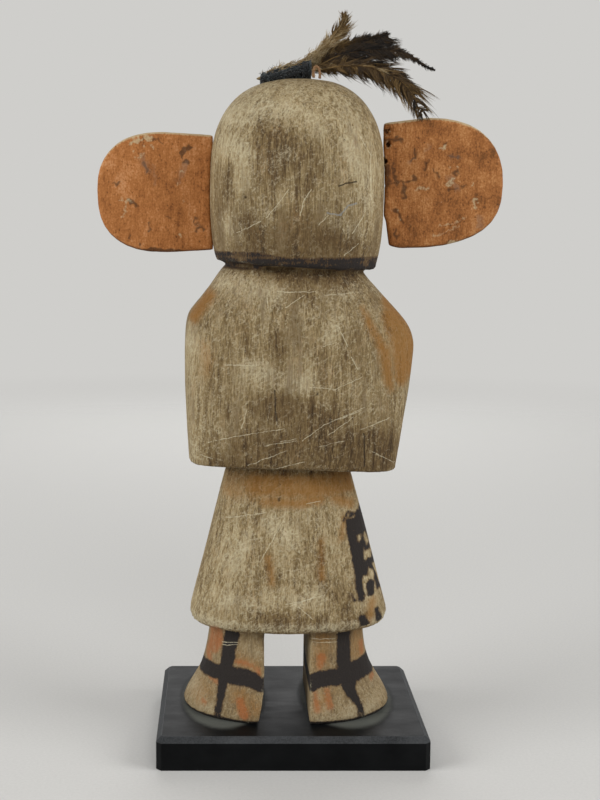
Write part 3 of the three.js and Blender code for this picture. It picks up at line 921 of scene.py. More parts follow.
    # Broad brown hand grime and bare wood, with painted shade down the middle of the mask, under it and along the
    # trunk's lower edge, then broad places that keep their pale clay.
    GRIME_AND_SHADE = (
        line(7, (8, 240), (0, 234), (6, 229)), line(3, (12.5, 240), (9, 230)),
        line(4.5, (-2.5, 209), (-4, 202), (-2.6, 196)), line(3, (-6, 223), (-4, 220)),
        line(3.5, (18, 207), (12, 201), (13, 196)), line(4, (-22, 198), (-12, 200)),
        line(2.5, (25.5, 226), (26.5, 212)), line(2.4, (3, 187), (-22, 184.5)), line(3, (-2, 185), (-4, 181)),
        line(6, (8, 138), (-4, 135), (-14, 129)), line(9, (14, 120), (-10, 118), (-34, 120)),
        line(6, (10, 118), (-20, 116)), line(5, (26, 113), (-32, 111.5)), line(2, (5, 150), (5.5, 164)),
        line(3.2, (-15, 66), (-22, 60)), line(2.4, (12, 53), (-10, 52)), line(2, (8.6, 77.4), (7.1, 67.9)),
        line(1.6, (-12, 80), (-12.6, 69)), line(3, (-21.5, 50.5), (-28.5, 52.5)), line(2.2, (10, 46), (20, 46.5)),
        line(2.2, (-9, 46), (-19, 46)),
    )
    # Pale clay, with painted highlight on the mask's crown and sides and on the trunk's left edge.
    CLEAN_AND_HIGHLIGHT = (
        line(8, (-16, 248), (16, 252)), line(5, (-30, 82), (-31, 60)), line(7, (20, 249), (8, 250)),
        line(6, (-14, 249), (-24, 240), (-27, 228)), line(4, (27, 236), (20, 232)),
        line(2.2, (19.4, 234.4), (19.4, 223)), line(1.8, (23.5, 211.3), (23.5, 202.3)), line(4, (-27, 222), (-28, 205)),
        line(4, (26, 184), (11, 180.5)), line(5, (37, 160), (38, 130)), line(6, (14, 150), (-6, 149)),
        line(3, (-18.6, 171.7), (-14, 164.4)), line(7, (20, 84), (27, 62)), line(6, (4, 86), (8, 64)),
        line(4, (-17, 88), (-14, 62)), line(2.2, (36, 57), (30, 54)), line(3, (38, 22), (33, 15)),
        line(3, (-38, 22), (-34, 15), (-22, 15)), line(2, (-9.5, 42), (-9.5, 16)),
    )
    OCHRE = (
        Stroke(((-26.8, 174.8), (-30.6, 167.3), (-35.3, 158.1), (-37.6, 146.4), (-39.2, 143.5)),
            (0.6, 1.6, 2.4, 1.8, 0.8)),
        line(5, (-40, 176), (-44, 164), (-47, 152)), line(3.4, (-38, 172), (-42, 158), (-43, 148)),
        line(2.4, (31.5, 179), (33.5, 177), (37.6, 171)), line(4.6, (14, 105), (-12, 104.4), (-27, 105.4)),
        line(2.2, (10, 99), (-3, 98.4), (-12, 100)), line(2.2, (-18, 99.5), (-24, 97)),
        line(1.1, (8.6, 77.4), (7.1, 67.9)), line(0.7, (-12.2, 84), (-12.4, 69.6)), line(1, (-21.5, 92), (-20.5, 84)),
        line(1.6, (-33, 58), (-31.5, 51)),
    )
    FAINT_OCHRE = (
        line(3.6, (20, 22), (14.6, 18.3)), line(5, (29, 105), (14, 103.6)),
        line(1.6, (33.1, 160.6), (31.9, 154.2), (32.3, 150.3)), line(2.4, (14, 33), (20, 36)),
        line(3.4, (-12, 35), (-13, 44)), line(3.4, (-27.5, 37), (-28, 44)), line(2.6, (-12, 20), (-15, 24)),
        line(2.6, (33, 22), (36, 18)),
    )
    ORANGE = (
        line(2.9, (29.5, 46), (29, 42), (30.5, 38)), line(1.2, (32.4, 35.5), (31.6, 33)),
        Stroke(((21, 34.3), (17.5, 34.2), (14.5, 33.4)), (1.1, 1.2, 0.6)), line(0.9, (12.6, 32.2), (12.2, 30.6)),
        line(1, (31.2, 26.2), (28.8, 25.4)), Stroke(((19.5, 20), (17.8, 15.5)), (1.6, 2)), dab(33.8, 17.4, 1),
        Stroke(((-12.6, 36.5), (-12, 33.2)), (1.9, 1.2)), Stroke(((-14.6, 24.6), (-15.9, 18.5)), (1.2, 1.3)),
        Stroke(((-9.8, 25), (-10.8, 18)), (0.8, 1.2)), line(1, (-29.6, 39), (-30, 35)), dab(-34, 25, 1.3),
    )
    CHALK = (
        line(4, (24, 246), (10, 250)), line(3, (3.1, 249.5), (6.5, 245)), line(3.4, (25, 238), (16, 231)),
        line(2.6, (9, 229), (2, 232)), line(2.6, (25, 208), (20, 203)), line(2.6, (-16, 207), (-24, 203)),
        line(2.8, (-19, 236), (-27, 226), (-29, 214)), line(2.6, (26, 185.5), (14, 182.6)),
        line(2, (16, 181), (4, 180.6)), line(1.3, (-18.6, 171.7), (-14, 164.4)),
        line(1.4, (-12.3, 179.7), (-23.4, 180.6)), line(3, (16, 152), (-4, 146)),
        line(2, (39, 167.6), (36.6, 160), (39.8, 161.7)), line(2, (38.4, 122), (37.2, 116.4)),
        line(3, (16, 84), (22, 74)), line(3, (0, 84), (8, 92)), line(2.6, (-1, 60), (-12, 63)),
        line(2.6, (14, 60), (26, 60)), line(2, (37, 20), (33, 15)), line(2.4, (-20, 15), (-34, 16)),
        line(2, (-11, 15), (-18, 14)),
    )
    # Each pinhole's x, z and radius.
    PINHOLES = ((-10.0, 142.6, 0.5), (-2.4, 139.0, 0.3), (4.4, 99.7, 0.45), (18.0, 216.7, 0.5))

    def build(self) -> None:
        """Build the figure."""
        piece = new_piece(merged(self.node), "painted_figure")
        remesh(piece, self.voxel)
        skin = Skin(piece)
        self.carve(skin)
        self.paint(skin, skin.points - SEAT)
        finish_piece(piece, "figure_paint", ClayPaint().build(), self.node.name)

    def carve(self, skin: Skin) -> None:
        """Turn the plain solid into a whittled one: crisp edges, soft faces, knife marks and pinholes.

        Args:
            skin: the figure's skin.
        """
        skin.whittle(1, 22, self.crisp)
        doll = skin.points - SEAT
        cuts = 0.2 * skin.waves((15.0, 15.0, 21.0), 3.7) + 0.07 * skin.waves((3.2, 3.2, 20.0), 8.1)
        cuts += 0.035 * skin.waves((1.5, 1.5, 6.0), 1.3)
        for x, z, half in self.PINHOLES:
            away = np.hypot(doll[:, 0] - x, doll[:, 2] - z)
            cuts -= np.where(doll[:, 1] > 0, 1.1 * soft_step(half + 0.45 - away, 0.0, half + 0.2), 0.0)
        skin.push(cuts)

    def below_rim(self, doll: np.ndarray) -> np.ndarray:
        """Measure how far each point lies below the black band's lower edge, just above the mask's dipping rim."""
        return self.RIM + 0.2 + self.RISE * doll[:, 0] - doll[:, 2]

    def outward(self, doll: np.ndarray) -> np.ndarray:
        """Measure how far out each point lies, as a share of the mask's width: 0.2 on its wall, less in the groove."""
        return np.hypot((doll[:, 0] - self.MIDDLE) / self.HALF_WIDE, doll[:, 1] / self.HALF_DEEP) - 0.8

    def black_depth(self, skin: Skin, doll: np.ndarray) -> np.ndarray:
        """Measure how deep inside the black paint each point is.

        Args:
            skin: the figure's skin.
            doll: its points in the doll's frame.

        Returns:
            Millimetres from -6 to 3. Paint is thin where the number is near 0.
        """
        height = doll[:, 2]
        black = painted_depth(doll, self.BLACK + self.FACE_MARKS)
        under_hem = (skin.normals[:, 2] < -0.45) & (height > self.HEM - 3.5) & (height < self.HEM + 0.5)
        black = np.minimum(np.where(under_hem, -6.0, black), -painted_depth(doll, self.BARE))
        sole = self.SOLE - height + 0.5 * skin.waves((9.0, 9.0, 9.0), 5.5)
        black = np.minimum(black, 2.0 - 1.7 * soft_step(18 - height, 0, 4))
        black = np.maximum(black, 1.6 * sole) + 0.35 * skin.waves((2.2, 2.2, 2.2), 7.7)
        across, top = np.array(self.BAND_TOP).T
        band_top = np.interp(doll[:, 0], across, top) - height
        band = np.minimum.reduce((band_top, -self.below_rim(doll), self.outward(doll) * 30))
        band = np.minimum(band, 0.3 + 0.7 * skin.waves((8.0, 8.0, 2.0), 2.9))
        return np.clip(np.maximum(black, band), -6, 3)

    def paint(self, skin: Skin, doll: np.ndarray) -> None:
        """Keep on the skin where its paints, grime and wear are.

        Args:
            skin: the figure's skin.
            doll: its points in the doll's frame.
        """
        piece, height = skin.piece, doll[:, 2]
        keep(piece, "black", self.black_depth(skin, doll))
        # Clean clay lightens the tone, and so does painted highlight on the mask's crown and sides.
        tone = soft_step(painted_depth(doll, self.CLEAN_AND_HIGHLIGHT), -5.0, 3.5)
        # Grime darkens the clay, and so does painted shade under the mask, down its middle and along the trunk's lower
        # edge.
        tone -= 1.5 * soft_step(painted_depth(doll, self.GRIME_AND_SHADE), -4.0, 3.5)
        # Painted shade: the back of the trunk is darkened just under the mask's overhanging rim.
        tone -= 0.9 * soft_step(height - self.NECK, 0, 4) * (height < self.RIM + 1) * (doll[:, 1] > 0)
        tone = np.where((height > 90) & (height < self.WAIST), np.maximum(tone, 0.3), tone)
        keep(piece, "tone", skin.evened(tone + 0.5 * skin.waves((18.0, 18.0, 30.0), 6.6), 6))
        behind = soft_step(doll[:, 1] + 3.0 * skin.waves((5.0, 5.0, 5.0), 4.2), 0.5, 7.0)
        ochre = soft_step(painted_depth(doll, self.OCHRE), -2.6, 2.4)
        faint = 0.6 * soft_step(painted_depth(doll, self.FAINT_OCHRE), -3.5, 2.5)
        keep(piece, "ochre", np.maximum(ochre, faint) * behind)
        keep(piece, "orange", soft_step(painted_depth(doll, self.ORANGE), -1.3, 0.9) * behind)
        hem = soft_step(self.HEM + 4.1 - height, 0, 1) * (height > self.HEM) * (skin.normals[:, 2] > -0.75)
        lip = soft_step(self.below_rim(doll) + 1.0, 0, 0.8) * (height > self.RIM - 2.2) * (self.outward(doll) > 0.13)
        keep(piece, "chalk", soft_step(painted_depth(doll, self.CHALK), -3.0, 2.2) + 1.6 * hem + 2.0 * lip)
        # Crease: raised edges are worn pale, and grooves are darkened with grime and painted shade.
        keep(piece, "edge", skin.crease(2))
        lower_head = soft_step(self.STREAKS - height, 0, 22) * (height > self.RIM)
        keep(piece, "streak", lower_head + 0.5 * ((height > self.TRUNK) & (height < self.RIM)))
        keep(piece, "tan", soft_step(self.HEM - height, 0, 1.5))


@dataclass(frozen=True)
class EarBoard:
    """One thin painted board that is let into the side of the mask."""

    node: str
    finish: BoardPaint
    dirt_and_shade: tuple[Stroke, ...]
    pale: tuple[Stroke, ...]
    grey: tuple[Stroke, ...]
    holes: Route = ()
    grooves: tuple[Stroke, ...] = ()
    reach: float = 0.0  # how much closer the inner edge comes to the head
    inner: float = 37.5  # where on the doll's left that edge starts
    bore: float = 1.05  # the radius of a small hole
    voxel: float = 0.42
    crisp: Pair = (0.03, 0.08)
    plug: float = 1.1  # the radius of the grime that stops a hole

    def build(self, node: bpy.types.Object) -> None:
        """Build the ear.

        Args:
            node: its CAD node.
        """
        shape = merged(node)
        self.clog_holes(shape)
        piece = new_piece(shape, self.node + "_board")
        remesh(piece, self.voxel)
        skin = Skin(piece)
        skin.whittle(2, 14, self.crisp)
        doll = skin.points - SEAT
        cuts = 0.12 * skin.waves((10.0, 10.0, 16.0), 2.2) + 0.04 * skin.waves((1.6, 1.6, 8.0), 6.0)
        bored = np.zeros(len(doll))
        for x, z in self.holes:
            away = np.hypot(doll[:, 0] - x, doll[:, 2] - z)
            bored = np.maximum(bored, soft_step(self.bore - away, 0.0, 0.6))
        cuts -= 1.3 * bored
        if self.grooves:
            cuts -= 0.35 * soft_step(painted_depth(doll, self.grooves), -0.3, 0.2)
        skin.push(cuts)
        skin.points[:, 0] -= self.reach * soft_step(self.inner - doll[:, 0], 0.0, 1.5)
        skin.write()
        stray = [skin.waves((1.6, 1.6, 1.6), seed) for seed in (3.3, 9.9)]
        frayed = doll + np.stack((stray[0], 0 * stray[0], stray[1]), axis=1) * 1.3
        under, above = (soft_step(side * skin.normals[:, 2], 0.15, 0.75) for side in (-1, 1))
        # Smudges and the darkened holes, with painted shade on the faces that look down.
        keep(piece, "dirt_and_shade", soft_step(painted_depth(frayed, self.dirt_and_shade), -1.1, 0.7) + 2.5 * bored + 0.8 * under)
        keep(piece, "pale", soft_step(painted_depth(frayed, self.pale), -0.9, 0.7) + 1.1 * above)
        keep(piece, "grey", soft_step(painted_depth(frayed, self.grey), -1.4, 1.2))
        keep(piece, "edge", np.where(bored > 0.02, -0.3, skin.crease(2)))
        finish_piece(piece, "ear_paint", self.finish.build(), self.node)

    def clog_holes(self, shape: bmesh.types.BMesh) -> None:
        """Stop the small bored holes half way through, with the grime that has set in them.

        Args:
            shape: the board, before it is remeshed.
        """
        for x, z in self.holes:
            stand = Matrix.Translation((Vector((x, 0.0, z)) + Vector(SEAT)) * MM) @ Matrix.Rotation(math.pi / 2, 4, "X")
            size = {"radius1": self.plug * MM, "radius2": self.plug * MM, "depth": 1.4 * MM}
            bmesh.ops.create_cone(shape, cap_ends=True, segments=12, matrix=stand, **size)


EARS = (
    EarBoard(
        "left_ear",
        BoardPaint("ochre_on_left_board", ("#7a4720", "#a06432", "#b2733e", "#c98d5c")),
        dirt_and_shade=(
            line(0.45, (53.4, 238.7), (51.1, 238.8), (50, 237.9)), line(0.9, (39, 235.9), (41.3, 234.7), (42.4, 232.9)),
            line(0.6, (41.3, 230.6), (39.8, 229.5)), line(0.35, (68.8, 222), (66.5, 222.2)),
            line(0.7, (62.4, 215.2), (60.1, 213.3)), dab(69.8, 214, 0.45), line(0.3, (48.3, 208.9), (47.1, 208.9)),
            line(0.4, (62.9, 202.3), (62.7, 200.4)), dab(58.7, 198.5, 0.5), line(0.35, (54.6, 206.8), (54.8, 203.8)),
            line(0.9, (55.2, 196), (49.9, 196), (44.5, 195.6)), line(0.45, (37.2, 203.8), (35.6, 205.3), (34.1, 204.6)),
            line(0.25, (37.5, 209.5), (36.6, 206.1)), line(0.6, (56.9, 230.2), (55.4, 226.5)),
        ),
        pale=(
            line(0.8, (61.4, 237.4), (57.4, 239.2), (54.2, 239.2)), dab(56.8, 236.8, 0.5), dab(53.4, 235.9, 0.65),
            dab(61, 234, 0.4), dab(42.2, 226.5, 0.35), dab(43.6, 222, 0.5), dab(41.3, 215.1, 0.35),
            dab(42.5, 201.9, 0.5), line(0.25, (59.9, 231.7), (57.2, 233.2)), line(0.3, (66.5, 215.6), (62, 215.4)),
            line(0.3, (63.9, 214.8), (64.8, 209.5)),
        ),
        grey=(
            line(0.8, (53.5, 229.1), (52.9, 225.7), (52.8, 221.6)), line(1.6, (57.5, 232), (55.4, 226.5)),
            line(1.3, (41, 229), (43.6, 223)),
        ),
        reach=0.55,
    ),
    EarBoard(
        "right_ear",
        BoardPaint("ochre_on_right_board", ("#66401e", "#8c572b", "#a56a38", "#c08752")),
        dirt_and_shade=(
            line(0.7, (-39.3, 229.5), (-40.3, 225.9), (-41.4, 222.8)),
            line(0.25, (-36.4, 221), (-41.4, 221.8), (-46.1, 222.6)), line(0.6, (-47.5, 223), (-48.3, 224.6)),
            line(0.6, (-44.2, 221.2), (-44.3, 216.5)), line(0.55, (-48.3, 234.9), (-48.6, 232.4), (-47.2, 230.8)),
            line(0.5, (-59.2, 236.6), (-60.1, 237.6)), line(0.6, (-63.9, 225.2), (-64.6, 226.7)),
            line(0.5, (-61.4, 219.5), (-64.5, 219.7)), line(0.4, (-55.4, 227.9), (-56.6, 225.9), (-58, 224.6)),
            line(0.5, (-61.8, 232.6), (-65.4, 231.8)), dab(-67.2, 220.9, 0.55),
            line(0.7, (-41, 211.8), (-42.8, 209.4), (-44, 206.7)), line(0.6, (-41.3, 203.5), (-41.6, 201.1)),
            line(0.5, (-52, 227.6), (-53, 230.5)), line(0.6, (-36.8, 238.4), (-42.5, 238.8)),
            line(0.8, (-37.4, 228), (-38.4, 222)),
        ),
        pale=(
            line(0.55, (-58.2, 235), (-60.1, 236.2)), line(0.5, (-63.2, 223.4), (-60.9, 220.9)), dab(-61.1, 228.3, 0.5),
            dab(-64.7, 228.4, 0.4), dab(-71, 221.4, 0.4), dab(-62.9, 222.4, 0.5),
            line(0.3, (-49.4, 219.8), (-51.7, 220.3), (-54.1, 219.8)),
            line(0.28, (-58.8, 205.7), (-64.4, 206.5), (-68.3, 209)),
            line(0.22, (-55.7, 201.5), (-61.7, 203.1), (-65.2, 205.5)), line(0.7, (-72.1, 215.7), (-72, 212.6)),
            dab(-42, 211.8, 0.4), dab(-43, 207.9, 0.4), dab(-46.5, 206.5, 0.35),
            line(0.8, (-62.5, 198.4), (-66, 199.2)),
        ),
        grey=(
            line(0.7, (-52.3, 234.3), (-54.6, 236.5)), line(0.6, (-48, 231.4), (-46, 230.2)),
            line(1.6, (-74.1, 208.3), (-74, 205.1)), line(0.9, (-61.8, 232.6), (-65.4, 231.8)),
            line(1.4, (-62, 224), (-65, 220)),
        ),
        holes=((-37.1, 241.8), (-37.8, 236.7), (-36.8, 230.4)),
        grooves=(line(0.2, (-36.6, 240.6), (-38.7, 240.7)), line(0.15, (-36.4, 221), (-41.4, 221.8), (-46.1, 222.6))),
    ),
)


@dataclass
class Strands:
    """Many tapered fibres in one curve, each with a shade at every point."""

    name: str
    half: float
    roundness: int = 0

    def __post_init__(self) -> None:
        """Start with no fibres."""
        self.curve = bpy.data.curves.new(self.name, "CURVE")
        self.curve.dimensions = "3D"
        self.curve.bevel_depth = self.half * MM
        self.curve.bevel_resolution = self.roundness
        self.shades: list[float] = []

    def add(self, route: Sequence[Vector], widths: Sequence[float], shades: Sequence[float]) -> None:
        """Add one fibre.

        Args:
            route: its points in the doll's frame.
            widths: its share of the full width at each point.
            shades: its shade at each point, from 0 to 1.
        """
        spline = self.curve.splines.new("POLY")
        spline.points.add(len(route) - 1)
        for point, place, width in zip(spline.points, route, widths):
            point.co = (*((place + Vector(SEAT)) * MM), 1.0)
            point.radius = width
        self.shades.extend(shades)

    def build(self) -> bpy.types.Object:
        """Turn the fibres into a mesh piece.

        Returns:
            The piece, with its shades kept for the material.
        """
        holder = placed(self.name + "_curve", self.curve)
        mesh = evaluated(holder)
        bpy.data.objects.remove(holder)
        sides = len(mesh.vertices) // len(self.shades)
        if sides * len(self.shades) != len(mesh.vertices):
            raise ValueError(f"{self.name}: {len(mesh.vertices)} vertices for {len(self.shades)} points")
        mesh.name = self.name
        piece = placed(self.name, mesh)
        keep(piece, "shade", np.repeat(self.shades, sides))
        for polygon in mesh.polygons:
            polygon.use_smooth = True
        return piece


def smooth_route(knots: Sequence[Triple], count: int) -> list[Vector]:
    """Run a smooth route through a few places.

    Args:
        knots: the places.
        count: how many points the route gets, evenly spaced.

    Returns:
        The route.
    """
    places = [Vector(knot) for knot in knots]
    fine = []
    for here, (start, end) in enumerate(zip(places, places[1:])):
        before = places[max(here - 1, 0)]
        after = places[min(here + 2, len(places) - 1)]
        for step in range(20):
            t = step / 20
            bend = (end - before) * t * (1 - t) ** 2 * 0.5 - (after - start) * t * t * (1 - t) * 0.5
            fine.append(start * (1 - t) ** 2 * (1 + 2 * t) + end * t * t * (3 - 2 * t) + bend)
    fine.append(places[-1])
    lengths = np.cumsum([0.0] + [(b - a).length for a, b in zip(fine, fine[1:])])
    rows = np.array(fine)
    wanted = np.linspace(0, lengths[-1], count)
    columns = [np.interp(wanted, lengths, rows[:, axis]) for axis in range(3)]
    return [Vector(row) for row in zip(*columns)]


@dataclass(frozen=True)
class Plume:
    """One feather of the bunch: a thin shaft, and fine barbs that cling together in locks."""

    name: str
    shaft: tuple[Triple, ...]
    reach_up: tuple[float, ...]  # the barbs' length above the shaft, from its quill to its tip
    reach_down: tuple[float, ...]
    shade: tuple[float, ...]  # 0 is cream and 1 nearly black, from quill to tip
    seed: int
    bare: float = 0.12  # the share of the shaft that is a bare quill
    sweep: float = 38.0  # degrees between the barbs and the shaft
    locks: int = 110
    barbs: int = 12
    droop: float = 0.1
    loose: float = 1.0  # how much the locks stray
    depth: float = 24.0  # how far the barbs fan towards the doll's back and front, in degrees
    down: tuple[Triple, ...] = ()  # where loose down lies

    BARB_HALF = 0.13
    QUILL_HALF = 0.5
    DOWN_FIBRES = 420

    def build(self, material: bpy.types.Material) -> None:
        """Build the feather.

        Args:
            material: its finish.
        """
        strands = Strands(self.name, self.BARB_HALF)
        draw = random.Random(self.seed)
        shaft = smooth_route(self.shaft, 60)
        thick, last = self.QUILL_HALF / self.BARB_HALF, len(shaft) - 1
        widths = [0.1] + [thick * (1 - 0.86 * place / last) for place in range(1, last)] + [0.05]
        shades = [0.12 + 0.8 * min(1.0, max(0.0, (place / last - self.bare) * 2.2)) for place in range(len(shaft))]
        strands.add(shaft, widths, shades)
        for lock in range(self.locks):
            self.add_lock(strands, shaft, (lock + draw.random()) / self.locks, draw)
        if self.down:
            self.add_down(strands, smooth_route(self.down, 40), draw)
        finish_piece(strands.build(), "feather", material, self.name.replace("plume", "feather"))

    def add_lock(self, strands: Strands, shaft: list[Vector], share: float, draw: random.Random) -> None:
        """Add one lock of clinging barbs.

        Args:
            strands: the feather's fibres.
            shaft: the shaft's points.
            share: where along the barbed part of the shaft the lock grows.
            draw: the feather's own dice.
        """
        along = self.bare + (1 - self.bare) * share
        upward = draw.random() < 0.5
        reach = np.interp(share, np.linspace(0, 1, len(self.reach_up)), self.reach_up if upward else self.reach_down)
        reach *= draw.uniform(0.72, 1.14)
        if reach < 0.3:
            return
        shade = float(np.interp(share, np.linspace(0, 1, len(self.shade)), self.shade)) + draw.gauss(0, 0.1)
        root, forward = self.place_on(shaft, along)
        side = forward.cross(Vector((0, 1, 0))).normalized() * (-1 if upward else 1)
        if (side.z > 0) != upward:
            side = -side
        fan = math.radians(draw.gauss(0, self.depth))
        outward = side * math.cos(fan) + Vector((0, 1, 0)) * math.sin(fan)
        lean = math.radians(self.sweep + draw.gauss(0, 9 * self.loose))
        heading = forward * math.cos(lean) + outward * math.sin(lean)
        tip = root + heading * reach + Vector([draw.gauss(0, 0.35 * self.loose) for _ in range(3)])
        tip.z -= self.droop * reach
        bow = (forward * 0.16 - outward * 0.05) * reach * draw.uniform(0.2, 1.6)
        gather = draw.uniform(0.15, 0.6) * self.loose
        tip_shade = shade + draw.gauss(-0.05, 0.1)
        for _ in range(self.barbs):
            start, _ = self.place_on(shaft, along + draw.uniform(-0.022, 0.022))
            end = tip + Vector([draw.gauss(0, gather) for _ in range(3)])
            end = start + (end - start) * draw.uniform(0.55, 1.05)
            route = []
            for step in range(5):
                t = step / 4
                stray = Vector([draw.gauss(0, 0.07 * self.loose) for _ in range(3)]) * t
                route.append(start + (end - start) * t - bow * 4 * t * (1 - t) + stray)
            tone = draw.gauss(0, 0.06)
            shades = [shade + tone + (tip_shade - shade) * step / 4 for step in range(5)]
            strands.add(route, (1.0, 0.95, 0.8, 0.6, 0.05), shades)

    def add_down(self, strands: Strands, route: list[Vector], draw: random.Random) -> None:
        """Add the cream down and split quill that lie loose over the wool.

        Args:
            strands: the feather's fibres.
            route: where the down lies.
            draw: the feather's own dice.
        """
        for _ in range(self.DOWN_FIBRES):
            place, forward = self.place_on(route, draw.random() ** 0.8)
            start = place + Vector([draw.gauss(0, 0.55) for _ in range(3)])
            end = start + forward * draw.uniform(1.5, 5.0) + Vector([draw.gauss(0, 1.0) for _ in range(3)])
            middle = (start + end) / 2 + Vector([draw.gauss(0, 0.4) for _ in range(3)])
            strands.add((start, middle, end), (0.8, 0.8, 0.05), [draw.uniform(-0.05, 0.3)] * 3)

    @staticmethod
    def place_on(shaft: list[Vector], share: float) -> tuple[Vector, Vector]:
        """Find a place on the shaft.

        Args:
            shaft: the shaft's points.
            share: how far along it.

        Returns:
            The place, and the way to the tip there.
        """
        spot = min(max(share, 0.0), 1.0) * (len(shaft) - 1)
        first = min(int(spot), len(shaft) - 2)
        forward = (shaft[first + 1] - shaft[first]).normalized()
        return shaft[first].lerp(shaft[first + 1], spot - first), forward


PLUMES = (
    Plume(
        "plume_upright",
        (
            (4.6, -2.7, 262.6), (-7.8, -3, 266.2), (-10.6, -3.8, 270.5), (-14.6, -4.4, 275.5), (-18.9, -4.6, 281),
            (-21.2, -4.6, 286.6),
        ),
        reach_up=(2.6, 4.0, 4.6, 5.0, 4.2, 2.4),
        reach_down=(1.0, 3.0, 6.0, 7.4, 6.6, 2.2),
        shade=(0.05, 0.05, 0.12, 0.22, 0.34, 0.4),
        seed=11,
        bare=0.2,
        sweep=30,
        locks=140,
        loose=1.25,
        down=(
            (10.8, 2, 263.4), (5, 2.4, 265), (0, 2.6, 266.6), (-5, 2.4, 268.2), (-10, 1.6, 272), (-14, 0.6, 275),
        ),
    ),
    Plume(
        "plume_high",
        (
            (13.2, -1.35, 262), (-7.8, -1.4, 266), (-14.5, -2.6, 271), (-20.5, -3.4, 274.4), (-27.2, -3.5, 276.5),
            (-32.4, -3.4, 277.4), (-37.4, -3.4, 279),
        ),
        reach_up=(2.6, 5.5, 5.6, 4.4, 3.2, 2.0),
        reach_down=(3.0, 6.0, 8.0, 9.0, 9.0, 7.5),
        shade=(0.12, 0.3, 0.55, 0.75, 0.82, 0.8),
        seed=12,
        bare=0.42,
        sweep=30,
        locks=190,
        loose=1.2,
        depth=14,
    ),
    Plume(
        "plume_long",
        (
            (12.6, 0, 262.2), (-7.8, 0, 266), (-16.6, 0, 270), (-24.4, 0, 272.2), (-32.1, 0, 273.2), (-39.9, 0, 272.8),
            (-44, 0, 271.8), (-47.2, 0, 270), (-49.8, 0, 268), (-52.9, 0, 266.5), (-55.8, 0, 265.3),
        ),
        reach_up=(2.5, 4.0, 5.4, 5.4, 4.6, 3.0, 1.8, 0.9, 0.5),
        reach_down=(3.0, 7.0, 9.0, 10.0, 9.0, 5.4, 2.4, 0.9, 0.4),
        shade=(0.35, 0.7, 0.86, 0.9, 0.86, 0.75, 0.7, 0.85, 0.95),
        seed=13,
        bare=0.3,
        sweep=28,
        locks=200,
        depth=14,
    ),
    Plume(
        "plume_low",
        (
            (13.4, 1.35, 262), (-7.8, 1.4, 265.6), (-16, 2.8, 266.6), (-28, 3.5, 266.6), (-37, 3.4, 264.6),
            (-43, 3.3, 261.4), (-47.6, 3.3, 256.6),
        ),
        reach_up=(2.4, 5.0, 7.0, 8.0, 6.6, 4.0),
        reach_down=(3.2, 5.0, 6.4, 7.4, 6.6, 5.0),
        shade=(0.35, 0.5, 0.6, 0.68, 0.62, 0.5),
        seed=14,
        bare=0.33,
        sweep=36,
        locks=190,
        loose=1.3,
        droop=0.3,
        depth=14,
    ),
    Plume(
        "plume_drooping",
        (
            (4, 2.7, 263.6), (-7.8, 2.9, 265), (-16, 5.6, 266), (-24, 6.6, 266.4), (-31.7, 7, 265.2), (-36.9, 7, 263.2),
            (-41, 6.8, 261), (-44.7, 6.6, 257.6), (-47.3, 6.3, 253.9), (-49.2, 6, 250.4), (-50.6, 5.8, 248),
        ),
        reach_up=(2.5, 3.6, 4.4, 5.6, 9.0, 12.0, 9.0, 3.6),
        reach_down=(3.4, 4.6, 6.2, 8.5, 9.0, 8.0, 6.0, 2.6),
        shade=(0.45, 0.5, 0.56, 0.54, 0.5, 0.5, 0.55, 0.6),
        seed=15,
        bare=0.26,
        sweep=32,
        locks=78,
        barbs=11,
        droop=0.3,
        loose=0.9,
        depth=18,
    ),
)


